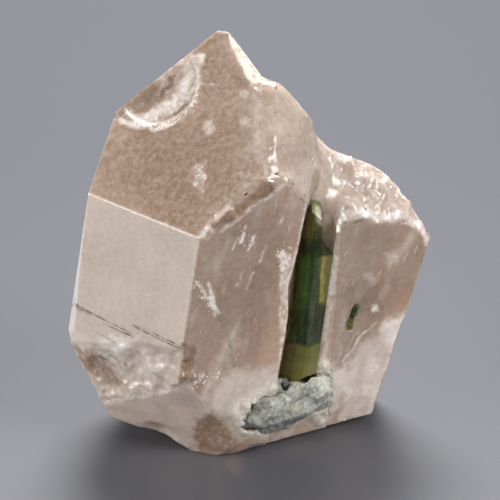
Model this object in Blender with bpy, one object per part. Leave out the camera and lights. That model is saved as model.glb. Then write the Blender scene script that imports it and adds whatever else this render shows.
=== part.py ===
"""A smoky quartz specimen with a green tourmaline grown into its front.

The quartz is built from its crystal faces. Each crystal is a block trimmed by flat faces at the angles that
quartz grows with: six prism faces round the long axis, and sloping end faces above them. Crystals that grew
together are joined in one solid, which is then chipped, roughened where it is broken, and hollowed for the
tourmaline, the needle and the pale mica that sit in it.

The specimen stands on the floor at z = 0. The front, with the tourmaline, looks towards -Y.
"""

import math
import random

import bmesh
import bpy
from mathutils import Matrix, Vector, noise

MM = 0.001
GAP = 0.3

# Driving dimensions of the quartz, in millimetres and degrees.
AXIS_LEAN = 9.0
END_SLOPE = 38.2
FRONT_LEFT_BEARING = -126.0
MAIN_CENTRE = Vector((-9.0, 6.0, 36.0))
SIDE_CENTRE = Vector((18.0, 14.0, 26.0))
BLOCK_SIZE = 240.0

# The six prism faces are 60 degrees apart, counted round the axis from the broad front left one.
FRONT_LEFT, FRONT, RIGHT, BACK_RIGHT, BACK, LEFT = (
    FRONT_LEFT_BEARING + 60.0 * turn for turn in range(6)
)

# Grown faces, as (bearing, slope of the outward normal, distance from the crystal's centre).
MAIN_CRYSTAL = (
    (FRONT_LEFT, 0.0, 24.1),
    (FRONT, 0.0, 24.5),
    (RIGHT, 0.0, 19.3),
    (BACK_RIGHT, 0.0, 14.8),
    (BACK, 0.0, 13.3),
    (LEFT - 6.0, 1.6, 22.3),
    (-160.0, -1.4, 27.2),
    (FRONT_LEFT, END_SLOPE, 27.0),
    (FRONT, END_SLOPE, 34.7),
    (160.0, 39.1, 33.0),
    (BACK, END_SLOPE, 33.5),
    (-33.0, 34.0, 31.9),
    (-8.5, 47.7, 31.6),
    (25.6, 39.0, 28.4),
    (100.0, 82.0, 45.3),
)
SHOULDER_CRYSTAL = (
    (FRONT_LEFT, 0.0, 23.6),
    (FRONT, 0.0, 24.3),
    (RIGHT, 0.0, 19.1),
    (BACK_RIGHT, 0.0, 13.8),
    (BACK, 0.0, 11.9),
    (LEFT, 0.0, -5.0),
    (FRONT_LEFT, END_SLOPE, 26.8),
    (FRONT, END_SLOPE, 35.0),
    (-33.0, 34.0, 32.1),
    (34.0, 45.0, 31.3),
    (120.0, 78.0, 36.9),
)
SIDE_FRONT = 16.2
SIDE_CRYSTAL = (
    (FRONT_LEFT, 0.0, 22.0),
    (FRONT, 0.0, SIDE_FRONT),
    (LEFT, 0.0, 18.0),
    (RIGHT, -7.0, 14.7),
    (BACK_RIGHT, 0.0, 8.0),
    (BACK, 0.0, 5.2),
    (FRONT, END_SLOPE, 25.3),
    (29.5, 38.6, 18.4),
    (70.0, 66.8, 25.1),
    (100.0, 45.0, 19.0),
)
# The low growth that fills the corner behind the tourmaline.
CORNER_CRYSTAL = (
    (FRONT_LEFT, 0.0, 18.0),
    (FRONT, 0.0, 21.5),
    (RIGHT, 5.5, 27.4),
    (BACK_RIGHT, 0.0, 14.0),
    (BACK, 0.0, -12.0),
    (LEFT, 0.0, -12.0),
    (FRONT, END_SLOPE, 24.9),
)

# Broken faces, as (outward normal, a point on the face), which cut all the big crystals.
BREAKS = (
    ((0.0, 0.0, -1.0), (0.0, 0.0, 0.0)),
    ((-0.541, -0.83, -0.134), (-36.4, -5.8, 21.4)),
    ((-0.88, 0.10, -0.46), (-37.0, -5.1, 23.3)),
    ((-0.34, -0.84, -0.42), (-6.4, -13.4, 0.0)),
    ((-0.35, 0.0, -0.93), (-12.0, 0.0, 0.0)),
    ((0.222, -0.662, -0.714), (-6.4, -13.4, 0.0)),
    ((0.192, -0.258, -0.947), (14.9, -3.4, 1.6)),
    ((-0.20, 0.75, -0.58), (0.0, 17.0, 3.0)),
)

# Conchoidal chips, as (centre of the ball that bites them out, its radius).
CHIPS = (
    ((-11.1, -31.0, 0.0), 17.3),
    ((-20.2, -14.3, 1.0), 6.4),
    ((-35.5, -40.9, 15.5), 30.7),
    ((-40.0, -27.1, 13.9), 21.6),
    ((38.0, -27.5, 9.5), 31.7),
    ((-37.0, 30.0, 12.0), 18.0),
    ((10.0, 38.0, 18.0), 19.5),
    ((-14.0, 36.0, 62.0), 17.5),
    ((38.0, 24.0, 10.0), 14.0),
)
CHIP_DETAIL = 3

# The crescent scar on the sloping front left face: a flat floor that sinks towards a curved crushed wall.
SCAR_CENTRE = Vector((-18.1, 6.9, 71.2))
SCAR_AXIS = Vector((-0.287, -0.733, 0.616))
SCAR_RADIUS = 7.9
SCAR_WALL = 1.0

# A crust of small crystals covers the sloping face between these corners.
CRUST_CORNERS = (
    Vector((17.6, -5.3, 46.9)),
    Vector((33.0, 1.3, 44.2)),
    Vector((32.0, 4.6, 48.6)),
    Vector((16.5, 3.8, 57.6)),
)
CRUST_ROWS = 4
CRUST_COLUMNS = 9
CRUST_RADIUS = (1.3, 2.5)
CRUST_TIP = (0.3, 1.3)

# A thin step in the front face, left of the tourmaline.
STEP_DEPTH = 0.9
STEP_LEFT_EDGE = 5.65
STEP_TOP = 39.0

# Corners closer than this are one corner.
SHORTEST_EDGE = 0.02

# Broken faces are split into triangles no longer than this, and then roughened.
BROKEN_GRAIN = 2.6
ROUGH_HEIGHT = 0.55
ROUGH_WAVE = 7.0

# The tourmaline: its cross-section, seen from above with the front at -y, round its own axis.
TOURMALINE_OUTLINE = (
    (-3.65, 0.2), (-1.39, -3.3), (0.73, -3.9), (1.68, -3.6), (3.65, -0.5), (2.9, 2.8), (0.2, 3.9), (-2.7, 3.2),
)
TOURMALINE_LEAN = 6.9
TOURMALINE_PLACE = Vector((11.5, -7.2, 31.0))
TOURMALINE_BOTTOM = -18.5
TOURMALINE_TOP = 20.0
STRIATION_PITCH = 0.62
STRIATION_DEPTH = 0.10
NOTCH_FACES = (
    ((-1.0, 0.0, 0.0), (14.0, -9.0, 43.3)),
    ((-0.88, 0.0, -0.48), (14.0, -9.0, 43.3)),
    ((0.0, -0.1, -1.0), (15.1, -9.0, 41.0)),
)

# The matrix: a lump of mica and feldspar round the tourmaline's foot.
MATRIX_CENTRE = Vector((6.8, -9.3, 9.9))
MATRIX_RADII = (11.2, 5.2, 5.0)
MATRIX_TURN = 28.0
MATRIX_TILT = 13.0
MATRIX_ROUGH = 2.2

# The needle in the right-hand crystal.
NEEDLE_ENDS = (Vector((20.15, -2.75, 22.7)), Vector((21.47, -2.62, 28.4)))
NEEDLE_RADIUS = 0.62


def lean(degrees=AXIS_LEAN):
    """The turn that tips a crystal's own frame over to the right."""
    return Matrix.Rotation(math.radians(degrees), 3, "Y")


def face_normal(bearing, slope):
    """The outward normal of a grown face: its bearing round the crystal axis and its slope up it."""
    turn, rise = math.radians(bearing), math.radians(slope)
    flat = math.cos(rise)
    return lean() @ Vector((math.cos(turn) * flat, math.sin(turn) * flat, math.sin(rise)))


def material(name, colour, roughness):
    made = bpy.data.materials.new(name)
    made.use_nodes = True
    shader = made.node_tree.nodes["Principled BSDF"]
    shader.inputs["Base Color"].default_value = (*colour, 1.0)
    shader.inputs["Roughness"].default_value = roughness
    shader.inputs["Metallic"].default_value = 0.0
    return made


def collection(name, shown=True):
    made = bpy.data.collections.new(name)
    made.hide_render = not shown
    bpy.context.scene.collection.children.link(made)
    return made


def add_object(name, bm, folder, *materials):
    """Turns a bmesh into an object in a collection."""
    mesh = bpy.data.meshes.new(name)
    bm.to_mesh(mesh)
    bm.free()
    for each in materials:
        mesh.materials.append(each)
    made = bpy.data.objects.new(name, mesh)
    folder.objects.link(made)
    if folder.hide_render:
        made.hide_render = True
        made.display_type = "WIRE"
    return made


def trim(bm, point, normal, tag):
    """Cuts away what lies outside a plane and closes the cut with a face that carries the tag."""
    everything = bm.verts[:] + bm.edges[:] + bm.faces[:]
    cut = bmesh.ops.bisect_plane(
        bm, geom=everything, dist=1e-7, plane_co=point, plane_no=normal, clear_outer=True
    )
    rim = [item for item in cut["geom_cut"] if isinstance(item, bmesh.types.BMEdge)]
    if len(rim) > 2:
        for face in bmesh.ops.edgeloop_fill(bm, edges=rim)["faces"]:
            face.material_index = tag
            face.normal_update()


def crystal(centre, faces):
    """A block trimmed by grown faces, which runs on far below the floor."""
    bm = bmesh.new()
    bmesh.ops.create_cube(bm, size=BLOCK_SIZE * MM)
    for bearing, slope, distance in faces:
        normal = face_normal(bearing, slope)
        trim(bm, (centre + normal * distance) * MM, normal, 0)
    bmesh.ops.recalc_face_normals(bm, faces=bm.faces[:])
    return bm


def broken_block():
    """What the breaks leave: a block trimmed by the broken faces, tagged 1."""
    bm = bmesh.new()
    bmesh.ops.create_cube(bm, size=BLOCK_SIZE * MM)
    for normal, point in BREAKS:
        trim(bm, Vector(point) * MM, Vector(normal).normalized(), 1)
    bmesh.ops.recalc_face_normals(bm, faces=bm.faces[:])
    return bm


def small_crystal(tip, radius, chance):
    """A stubby crystal with a six-sided point, nearly parallel to the big ones, kept behind the side face."""
    bm = bmesh.new()
    bmesh.ops.create_cube(bm, size=3.0 * radius * MM)
    spread = 0.12
    for turn in range(6):
        bearing = FRONT_LEFT_BEARING + 60.0 * turn
        side = face_normal(bearing, 0.0)
        trim(bm, side * radius * chance.uniform(0.8, 1.1) * MM, side, 1)
        end = face_normal(bearing, END_SLOPE)
        trim(bm, end * radius * chance.uniform(0.55, 0.9) * MM, end, 1)
    turn = Matrix.Rotation(chance.uniform(-spread, spread), 3, "X")
    turn = turn @ Matrix.Rotation(chance.uniform(-spread, spread), 3, "Y")
    bmesh.ops.rotate(bm, verts=bm.verts[:], matrix=turn)
    top = max(vert.co.z for vert in bm.verts)
    bmesh.ops.translate(bm, verts=bm.verts[:], vec=tip * MM - Vector((0.0, 0.0, top)))
    front = face_normal(FRONT, 0.0)
    trim(bm, (SIDE_CENTRE + front * (SIDE_FRONT - chance.uniform(0.1, 0.5))) * MM, front, 1)
    bmesh.ops.recalc_face_normals(bm, faces=bm.faces[:])
    return bm


def add_crust(folder, *materials):
    """Small crystals in loose rows over the sloping face of the side crystal."""
    chance = random.Random(11)
    low_left, low_right, high_right, high_left = CRUST_CORNERS
    for row in range(CRUST_ROWS):
        for column in range(CRUST_COLUMNS):
            across = (column + chance.uniform(0.1, 0.9)) / CRUST_COLUMNS
            up = (row + chance.uniform(0.1, 0.9)) / CRUST_ROWS
            low = low_left.lerp(low_right, across)
            high = high_left.lerp(high_right, across)
            tip = low.lerp(high, up) + Vector((0.0, 0.0, chance.uniform(*CRUST_TIP)))
            radius = chance.uniform(*CRUST_RADIUS)
            add_object(f"crust_{row}_{column}", small_crystal(tip, radius, chance), folder, *materials)


def combine(base, other, operation):
    """Adds a Boolean modifier to the base object, with an object or a collection."""
    step = base.modifiers.new(operation.lower() + " " + other.name, "BOOLEAN")
    step.operation = operation
    step.solver = "EXACT"
    if isinstance(other, bpy.types.Collection):
        step.operand_type = "COLLECTION"
        step.collection = other
    else:
        step.object = other


def settle(base, merge):
    """Hands back the result of an object's modifiers as triangles, with corners closer than merge as one."""
    bpy.context.view_layer.update()
    graph = bpy.context.evaluated_depsgraph_get()
    bm = bmesh.new()
    bm.from_object(base, graph)
    base.modifiers.clear()
    bmesh.ops.remove_doubles(bm, verts=bm.verts[:], dist=merge * MM)
    bmesh.ops.dissolve_degenerate(bm, edges=bm.edges[:], dist=0.1 * merge * MM)
    bmesh.ops.triangulate(bm, faces=bm.faces[:])
    return bm


def drop_crumbs(bm):
    """Keeps the biggest body, and deletes the crumbs that the cuts leave beside it."""
    waiting = set(bm.verts)
    bodies = []
    while waiting:
        reached = {waiting.pop()}
        edge_of_growth = list(reached)
        while edge_of_growth:
            vert = edge_of_growth.pop()
            for link in vert.link_edges:
                other = link.other_vert(vert)
                if other in waiting:
                    waiting.remove(other)
                    reached.add(other)
                    edge_of_growth.append(other)
        bodies.append(reached)
    bodies.sort(key=len)
    for crumb in bodies[:-1]:
        bmesh.ops.delete(bm, geom=list(crumb), context="VERTS")


def chip_balls(folder, *materials):
    """The balls whose bites leave shell-shaped hollows. All their faces count as broken."""
    for index, (centre, radius) in enumerate(CHIPS):
        bm = bmesh.new()
        bmesh.ops.create_icosphere(bm, subdivisions=CHIP_DETAIL, radius=radius * MM)
        bmesh.ops.translate(bm, verts=bm.verts[:], vec=Vector(centre) * MM)
        for face in bm.faces:
            face.material_index = 1
        add_object(f"chip_{index + 1}", bm, folder, *materials)


def scar_cutter():
    """A wide shallow cone whose flat end is the scar's floor."""
    bm = bmesh.new()
    height = 6.0
    bmesh.ops.create_cone(
        bm, cap_ends=True, segments=40, radius1=SCAR_RADIUS * MM,
        radius2=(SCAR_RADIUS + SCAR_WALL * height) * MM, depth=height * MM
    )
    bmesh.ops.translate(bm, verts=bm.verts[:], vec=Vector((0.0, 0.0, 0.5 * height)) * MM)
    for face in bm.faces:
        face.material_index = 1 if abs(face.normal.z) < 0.9 else 0
    turn = SCAR_AXIS.normalized().to_track_quat("Z", "Y").to_matrix()
    bmesh.ops.rotate(bm, verts=bm.verts[:], matrix=turn)
    bmesh.ops.translate(bm, verts=bm.verts[:], vec=SCAR_CENTRE * MM)
    return bm


def split_broken_faces(bm):
    """Cuts the broken faces into small triangles. The flat underside is left as it is."""
    def rough(face):
        return face.material_index == 1 and face.calc_center_median().z > 1e-6
    bmesh.ops.triangulate(bm, faces=[face for face in bm.faces if rough(face)])
    for _ in range(8):
        long_edges = [
            edge for edge in bm.edges
            if edge.calc_length() > BROKEN_GRAIN * MM and any(rough(face) for face in edge.link_faces)
        ]
        if not long_edges:
            return
        bmesh.ops.subdivide_edges(bm, edges=long_edges, cuts=1, use_grid_fill=False)
        bmesh.ops.triangulate(bm, faces=[face for face in bm.faces if rough(face) and len(face.verts) > 3])


def roughen(bm):
    """Lifts and sinks the points inside broken faces, which the grown faces don't share."""
    bm.normal_update()
    moves = []
    for vert in bm.verts:
        inside = all(face.material_index == 1 for face in vert.link_faces)
        if inside and vert.co.z > 1e-6:
            place = vert.co / (ROUGH_WAVE * MM)
            height = noise.noise(place) + 0.5 * noise.noise(place * 2.3)
            moves.append((vert, vert.normal * height * ROUGH_HEIGHT * MM))
    for vert, move in moves:
        vert.co += move
        vert.co.z = max(vert.co.z, 0.05 * MM)


def step_cutter():
    """A block whose back face lies just under the front face, for the thin step by the tourmaline."""
    bm = bmesh.new()
    bmesh.ops.create_cube(bm, size=BLOCK_SIZE * MM)
    front = face_normal(FRONT, 0.0)
    trim(bm, (MAIN_CENTRE + front * (24.5 - STEP_DEPTH)) * MM, -front, 0)
    trim(bm, Vector((STEP_LEFT_EDGE, 0.0, 0.0)) * MM, Vector((-1.0, -0.25, 0.0)), 0)
    trim(bm, Vector((0.0, 0.0, STEP_TOP)) * MM, Vector((0.1, 0.0, 1.0)).normalized(), 0)
    bmesh.ops.recalc_face_normals(bm, faces=bm.faces[:])
    return bm


def striated(corners, depth):
    """The points of an outline whose straight sides carry shallow grooves."""
    points = []
    for index, corner in enumerate(corners):
        start, end = Vector(corner), Vector(corners[(index + 1) % len(corners)])
        side = end - start
        count = max(1, round(side.length / STRIATION_PITCH))
        inward = Vector((-side.y, side.x)).normalized()
        points.append(start)
        for groove in range(1, count):
            sunk = depth if groove % 2 else 0.25 * depth
            points.append(start.lerp(end, groove / count) + inward * sunk)
    return points


def swollen(corners, extra):
    """An outline moved outwards by a margin, corner by corner."""
    moved = []
    for index, corner in enumerate(corners):
        here = Vector(corner)
        before = (here - Vector(corners[index - 1])).normalized()
        after = (Vector(corners[(index + 1) % len(corners)]) - here).normalized()
        out = Vector((before.y + after.y, -before.x - after.x)).normalized()
        share = Vector((before.y, -before.x)).dot(out)
        moved.append(here + out * (extra / share))
    return moved


def prism(points, bottom, top, lean_angle, place):
    """An outline raised into a prism, then leaned over and put in place."""
    bm = bmesh.new()
    base = [bm.verts.new(Vector((point[0], point[1], bottom)) * MM) for point in points]
    face = bm.faces.new(base)
    raised = bmesh.ops.extrude_face_region(bm, geom=[face])
    lifted = [item for item in raised["geom"] if isinstance(item, bmesh.types.BMVert)]
    bmesh.ops.translate(bm, verts=lifted, vec=Vector((0.0, 0.0, (top - bottom) * MM)))
    bmesh.ops.rotate(bm, verts=bm.verts[:], matrix=lean(lean_angle))
    bmesh.ops.translate(bm, verts=bm.verts[:], vec=place * MM)
    bmesh.ops.recalc_face_normals(bm, faces=bm.faces[:])
    return bm


def tourmaline_ends(bm):
    """The broken foot and the bevels at the top, in the tourmaline's own leaning frame."""
    turn = lean(TOURMALINE_LEAN)
    cuts = (
        ((-0.97, -0.1, 0.22), (-3.2, 0.0, 14.6)),
        ((0.42, -0.1, 0.9), (0.4, -2.5, 18.3)),
        ((-0.2, -0.5, -0.84), (-3.0, -2.0, -16.6)),
        ((0.5, -0.4, -0.77), (2.0, -2.0, -15.4)),
    )
    for normal, point in cuts:
        place = TOURMALINE_PLACE + turn @ Vector(point)
        trim(bm, place * MM, (turn @ Vector(normal)).normalized(), 1)
    bmesh.ops.recalc_face_normals(bm, faces=bm.faces[:])


def notch_cutter():
    """The block that broke away at the tourmaline's upper right."""
    bm = bmesh.new()
    bmesh.ops.create_cube(bm, size=BLOCK_SIZE * MM)
    for normal, point in NOTCH_FACES:
        trim(bm, Vector(point) * MM, Vector(normal).normalized(), 1)
    bmesh.ops.recalc_face_normals(bm, faces=bm.faces[:])
    return bm


def matrix_lump(extra):
    """An uneven lump, grown by a margin for the hollow that it sits in."""
    bm = bmesh.new()
    bmesh.ops.create_icosphere(bm, subdivisions=3, radius=1.0)
    turn = Matrix.Rotation(math.radians(MATRIX_TURN), 3, "Z") @ Matrix.Rotation(math.radians(-MATRIX_TILT), 3, "Y")
    for vert in bm.verts:
        unit = vert.co.normalized()
        bump = noise.noise(unit * 2.1 + Vector((3.0, 1.0, 7.0))) * MATRIX_ROUGH
        shape = Vector(unit[axis] * (MATRIX_RADII[axis] + bump + extra) for axis in range(3))
        vert.co = (MATRIX_CENTRE + turn @ shape) * MM
    for vert in bm.verts:
        vert.co.z = max(vert.co.z, (1.2 - extra) * MM)
    bmesh.ops.recalc_face_normals(bm, faces=bm.faces[:])
    return bm


def needle(extra):
    """A six-sided rod between the needle's ends."""
    low, high = NEEDLE_ENDS
    along = (high - low).normalized()
    bm = bmesh.new()
    bmesh.ops.create_cone(
        bm, cap_ends=True, segments=6, radius1=(NEEDLE_RADIUS + extra) * MM,
        radius2=(0.8 * NEEDLE_RADIUS + extra) * MM, depth=((high - low).length + 2.0 * extra) * MM
    )
    bmesh.ops.rotate(bm, verts=bm.verts[:], matrix=along.to_track_quat("Z", "Y").to_matrix())
    bmesh.ops.translate(bm, verts=bm.verts[:], vec=(low + high) * 0.5 * MM)
    return bm


def main():
    for old in list(bpy.data.objects):
        bpy.data.objects.remove(old)
    shown = collection("smoky_quartz_specimen")
    helpers = collection("cutters_and_joined_crystals", shown=False)
    crust = collection("crust_crystals", shown=False)
    chips = collection("chip_balls", shown=False)
    grown = material("smoky quartz, grown face", (0.60, 0.47, 0.40), 0.25)
    broken = material("smoky quartz, broken face", (0.72, 0.62, 0.56), 0.55)
    green = material("green tourmaline", (0.06, 0.14, 0.03), 0.2)
    mica = material("pale mica and feldspar", (0.55, 0.57, 0.52), 0.8)

    quartz = add_object("quartz", crystal(MAIN_CENTRE, MAIN_CRYSTAL), shown, grown, broken)
    for name, centre, faces in (("shoulder", MAIN_CENTRE, SHOULDER_CRYSTAL),
                                ("side", SIDE_CENTRE, SIDE_CRYSTAL),
                                ("corner", MAIN_CENTRE, CORNER_CRYSTAL)):
        combine(quartz, add_object(name, crystal(centre, faces), helpers, grown, broken), "UNION")
    combine(quartz, add_object("breaks", broken_block(), helpers, grown, broken), "INTERSECT")
    add_crust(crust, grown, broken)
    combine(quartz, crust, "UNION")
    chip_balls(chips, grown, broken)
    combine(quartz, chips, "DIFFERENCE")
    combine(quartz, add_object("scar", scar_cutter(), helpers, grown, broken), "DIFFERENCE")
    bm = settle(quartz, SHORTEST_EDGE)
    split_broken_faces(bm)
    roughen(bm)
    bm.to_mesh(quartz.data)
    bm.free()

    combine(quartz, add_object("step", step_cutter(), helpers, grown, broken), "DIFFERENCE")
    body = prism(striated(TOURMALINE_OUTLINE, STRIATION_DEPTH), TOURMALINE_BOTTOM, TOURMALINE_TOP,
                 TOURMALINE_LEAN, TOURMALINE_PLACE)
    tourmaline_ends(body)
    tourmaline = add_object("green_tourmaline", body, shown, green)
    combine(tourmaline, add_object("notch", notch_cutter(), helpers), "DIFFERENCE")
    mould = prism(swollen(TOURMALINE_OUTLINE, GAP), TOURMALINE_BOTTOM - GAP, TOURMALINE_TOP + GAP,
                  TOURMALINE_LEAN, TOURMALINE_PLACE)
    mould = add_object("tourmaline_mould", mould, helpers, grown, broken)
    matrix = add_object("mica_matrix", matrix_lump(0.0), shown, mica)
    combine(matrix, mould, "DIFFERENCE")
    combine(quartz, mould, "DIFFERENCE")
    combine(quartz, add_object("matrix_mould", matrix_lump(GAP), helpers, grown, broken), "DIFFERENCE")
    add_object("tourmaline_needle", needle(0.0), shown, green)
    combine(quartz, add_object("needle_mould", needle(GAP), helpers, grown, broken), "DIFFERENCE")
    for piece in (quartz, matrix):
        bm = settle(piece, 0.1 * SHORTEST_EDGE)
        drop_crumbs(bm)
        bm.to_mesh(piece.data)
        bm.free()


main()
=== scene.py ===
"""The looks of a smoky quartz specimen with a green tourmaline grown into its front.

Lengths are in millimetres until a mesh is made. A place that was read from the photograph is written as a
photo position, in pixels of its 500 x 500 frame. The photo's camera, which is fixed, carries it onto the
crystal.
"""

import itertools
import math

import bmesh
import bpy
import numpy as np
from mathutils import Matrix, Vector, kdtree
from mathutils.geometry import delaunay_2d_cdt


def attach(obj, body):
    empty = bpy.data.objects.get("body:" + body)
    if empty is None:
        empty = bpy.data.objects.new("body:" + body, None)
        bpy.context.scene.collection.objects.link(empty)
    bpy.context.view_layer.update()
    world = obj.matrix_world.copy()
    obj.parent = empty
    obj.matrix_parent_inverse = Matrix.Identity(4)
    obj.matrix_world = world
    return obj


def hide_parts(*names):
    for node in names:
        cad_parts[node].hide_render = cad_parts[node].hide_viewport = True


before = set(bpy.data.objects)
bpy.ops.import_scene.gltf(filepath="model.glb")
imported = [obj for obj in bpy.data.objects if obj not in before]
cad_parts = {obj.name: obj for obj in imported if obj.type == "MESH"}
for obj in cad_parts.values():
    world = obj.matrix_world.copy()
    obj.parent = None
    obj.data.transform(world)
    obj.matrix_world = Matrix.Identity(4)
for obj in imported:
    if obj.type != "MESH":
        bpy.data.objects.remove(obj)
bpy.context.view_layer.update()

MM = 0.001

# The photo's camera: what it looks at, in mm, and how.
CAMERA_TARGET = np.array((0.0, 0.0, 38.9))
CAMERA_ELEVATION = 20.0
CAMERA_DISTANCE = 416.7
CAMERA_LENS = 150.0
CAMERA_SENSOR = 36.0
PHOTO_SIZE = 500.0

# The way that the quartz grew, as in the CAD source: the lean of its long axis and the bearings of its prism
# faces.
AXIS_LEAN = 9.0
END_SLOPE = 38.2
FRONT_LEFT, FRONT, _, BACK_RIGHT, BACK, LEFT = (-126.0 + 60.0 * turn for turn in range(6))


def lean_matrix(degrees=AXIS_LEAN):
    """The turn about the Y axis that tips a crystal's own frame over to the right."""
    turn = math.radians(degrees)
    return np.array((
        (math.cos(turn), 0.0, math.sin(turn)),
        (0.0, 1.0, 0.0),
        (-math.sin(turn), 0.0, math.cos(turn)),
    ))


def face_normal(bearing, slope):
    """The outward normal of a grown face, from its bearing round the crystal axis and its slope."""
    turn, rise = math.radians(bearing), math.radians(slope)
    return lean_matrix() @ np.array((
        math.cos(turn) * math.cos(rise), math.sin(turn) * math.cos(rise), math.sin(rise)
    ))


def camera_axes():
    """The unit vectors to the camera's right, up, and back towards it."""
    rise = math.radians(CAMERA_ELEVATION)
    return (
        np.array((1.0, 0.0, 0.0)),
        np.array((0.0, math.sin(rise), math.cos(rise))),
        np.array((0.0, -math.cos(rise), math.sin(rise))),
    )


def photo_place(points):
    """Where points in mm fall in the photo, in pixels: a pinhole view from the camera's place."""
    right, up, back = camera_axes()
    seen = points - (CAMERA_TARGET + back * CAMERA_DISTANCE)
    scale = CAMERA_LENS / CAMERA_SENSOR * PHOTO_SIZE / -(seen @ back)
    return np.stack((0.5 * PHOTO_SIZE + seen @ right * scale, 0.5 * PHOTO_SIZE - seen @ up * scale), axis=-1)


# Noise

def lattice(cells, seed):
    """A steady random number from 0 to 1 for each whole-number cell, from its three numbers scrambled."""
    whole = cells.astype(np.int64)
    mixed = whole[..., 0] * 73856093 ^ whole[..., 1] * 19349663 ^ whole[..., 2] * 83492791
    mixed = mixed ^ (seed + 1) * 40503
    mixed = (mixed ^ (mixed >> 13)) * 1274126177
    mixed = (mixed ^ (mixed >> 15)) * 668265263
    return ((mixed ^ (mixed >> 17)) & 0xFFFFFF) / float(0x1000000)


NOISE_TURN = np.array(
    Matrix.Rotation(0.7, 3, "X") @ Matrix.Rotation(0.5, 3, "Y") @ Matrix.Rotation(0.9, 3, "Z"))


def waves(points, size, seed=0):
    """Smooth noise from -1 to 1: random numbers at the corners of cells of this size, blended in between."""
    place = points @ NOISE_TURN.T / size
    base = np.floor(place)
    part = place - base
    part = part * part * (3.0 - 2.0 * part)
    total = 0.0
    for corner in itertools.product((0, 1), repeat=3):
        weight = np.prod(np.where(corner, part, 1.0 - part), axis=-1)
        total = total + weight * lattice(base + np.array(corner), seed)
    return 2.0 * total - 1.0


def rough(points, size, octaves=4, seed=0):
    """Noise at several sizes, each half as wide and half as strong as the one before it."""
    total = 0.0
    for octave in range(octaves):
        total = total + waves(points, size / 2.0 ** octave, seed + octave) / 2.0 ** octave
    return total / (2.0 - 2.0 ** (1 - octaves))


def nearest_seed(points, size, seed=0):
    """The distance, in cells, from each point to the nearest of the seeds scattered one to a cell."""
    place = points @ NOISE_TURN.T / size
    base = np.floor(place)
    nearest = np.full(len(points), 9.0)
    for step in itertools.product((-1, 0, 1), repeat=3):
        cell = base + np.array(step)
        centre = cell + np.stack([lattice(cell, seed + 11 * axis) for axis in range(3)], axis=-1)
        nearest = np.minimum(nearest, np.linalg.norm(place - centre, axis=-1))
    return nearest


def chipped(points, size, seed=0):
    """The height of shelly chips: shallow bowls round scattered seeds, which meet in sharp ridges."""
    return nearest_seed(points, size, seed) ** 2 - 0.3


def ease(value, low, high):
    """0 below low and 1 above high, with a smooth rise between them."""
    part = np.clip((value - low) / (high - low), 0.0, 1.0)
    return part * part * (3.0 - 2.0 * part)


# Marks read from the photo

def spot(seen, centre, radius, soft=0.5):
    """A round mark in the photo: 1 at its centre and 0 outside its radius, with a soft rim."""
    gap = np.hypot(seen[:, 0] - centre[0], seen[:, 1] - centre[1])
    return 1.0 - ease(gap, radius * (1.0 - soft), radius * (1.0 + 0.3 * soft))


def nearest_on_path(seen, path):
    """For each place, the nearest place on a path of straight runs, and the distance to it in pixels."""
    gaps = np.full(len(seen), 1e9)
    nearest = np.zeros_like(seen)
    for start, end in zip(path[:-1], path[1:]):
        start, end = np.array(start, dtype=float), np.array(end, dtype=float)
        run = end - start
        along = np.clip((seen - start) @ run / (run @ run), 0.0, 1.0)
        place = start + along[:, None] * run
        gap = np.linalg.norm(seen - place, axis=1)
        nearest[gap < gaps] = place[gap < gaps]
        gaps = np.minimum(gaps, gap)
    return nearest, gaps


def gap_to_path(seen, path):
    return nearest_on_path(seen, path)[1]


def stroke(seen, path, width, soft=0.6):
    """A line drawn along a path in the photo, this many pixels wide."""
    return 1.0 - ease(gap_to_path(seen, path), 0.5 * width * (1.0 - soft), 0.5 * width * (1.0 + soft))


def inside(seen, corners):
    """True for the places inside an outline, by counting how often a line to the right crosses it."""
    crossed = np.zeros(len(seen), dtype=bool)
    for start, end in zip(corners, corners[1:] + corners[:1]):
        low, high = sorted((start, end), key=lambda corner: corner[1])
        if low[1] == high[1]:
            continue
        reach = low[0] + (seen[:, 1] - low[1]) * (high[0] - low[0]) / (high[1] - low[1])
        crossed ^= (seen[:, 1] >= low[1]) & (seen[:, 1] < high[1]) & (seen[:, 0] < reach)
    return crossed


def patch(seen, corners, soft=3.0):
    """A filled outline in the photo, with an edge this many pixels soft."""
    gap = gap_to_path(seen, corners + corners[:1])
    signed = np.where(inside(seen, corners), gap, -gap)
    return ease(signed, -0.5 * soft, 0.5 * soft)


def wander(points, size, seed, reach):
    """A shift across the photo for each point, up to this many pixels, which makes marks' edges uneven."""
    return reach * np.stack((rough(points, size, 3, seed), rough(points, size, 3, seed + 1)), axis=-1)


def lay_marks(amounts, marks, covered):
    """Draws named amounts towards those of each mark in turn, as far as the mark covers a point."""
    for shape, place, size, wanted in marks:
        mask = covered(shape, place, size)
        for name, amount in wanted.items():
            amounts[name] += (amount - amounts[name]) * mask


# Meshes

def merged_copy(node):
    """A CAD node's solid as a bmesh in mm, with its loose triangles joined at their corners."""
    bm = bmesh.new()
    bm.from_mesh(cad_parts[node].data)
    bmesh.ops.scale(bm, vec=(1.0 / MM,) * 3, verts=bm.verts[:])
    bmesh.ops.remove_doubles(bm, verts=bm.verts[:], dist=0.002)
    bmesh.ops.triangulate(bm, faces=bm.faces[:])
    bm.normal_update()
    return bm


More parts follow.
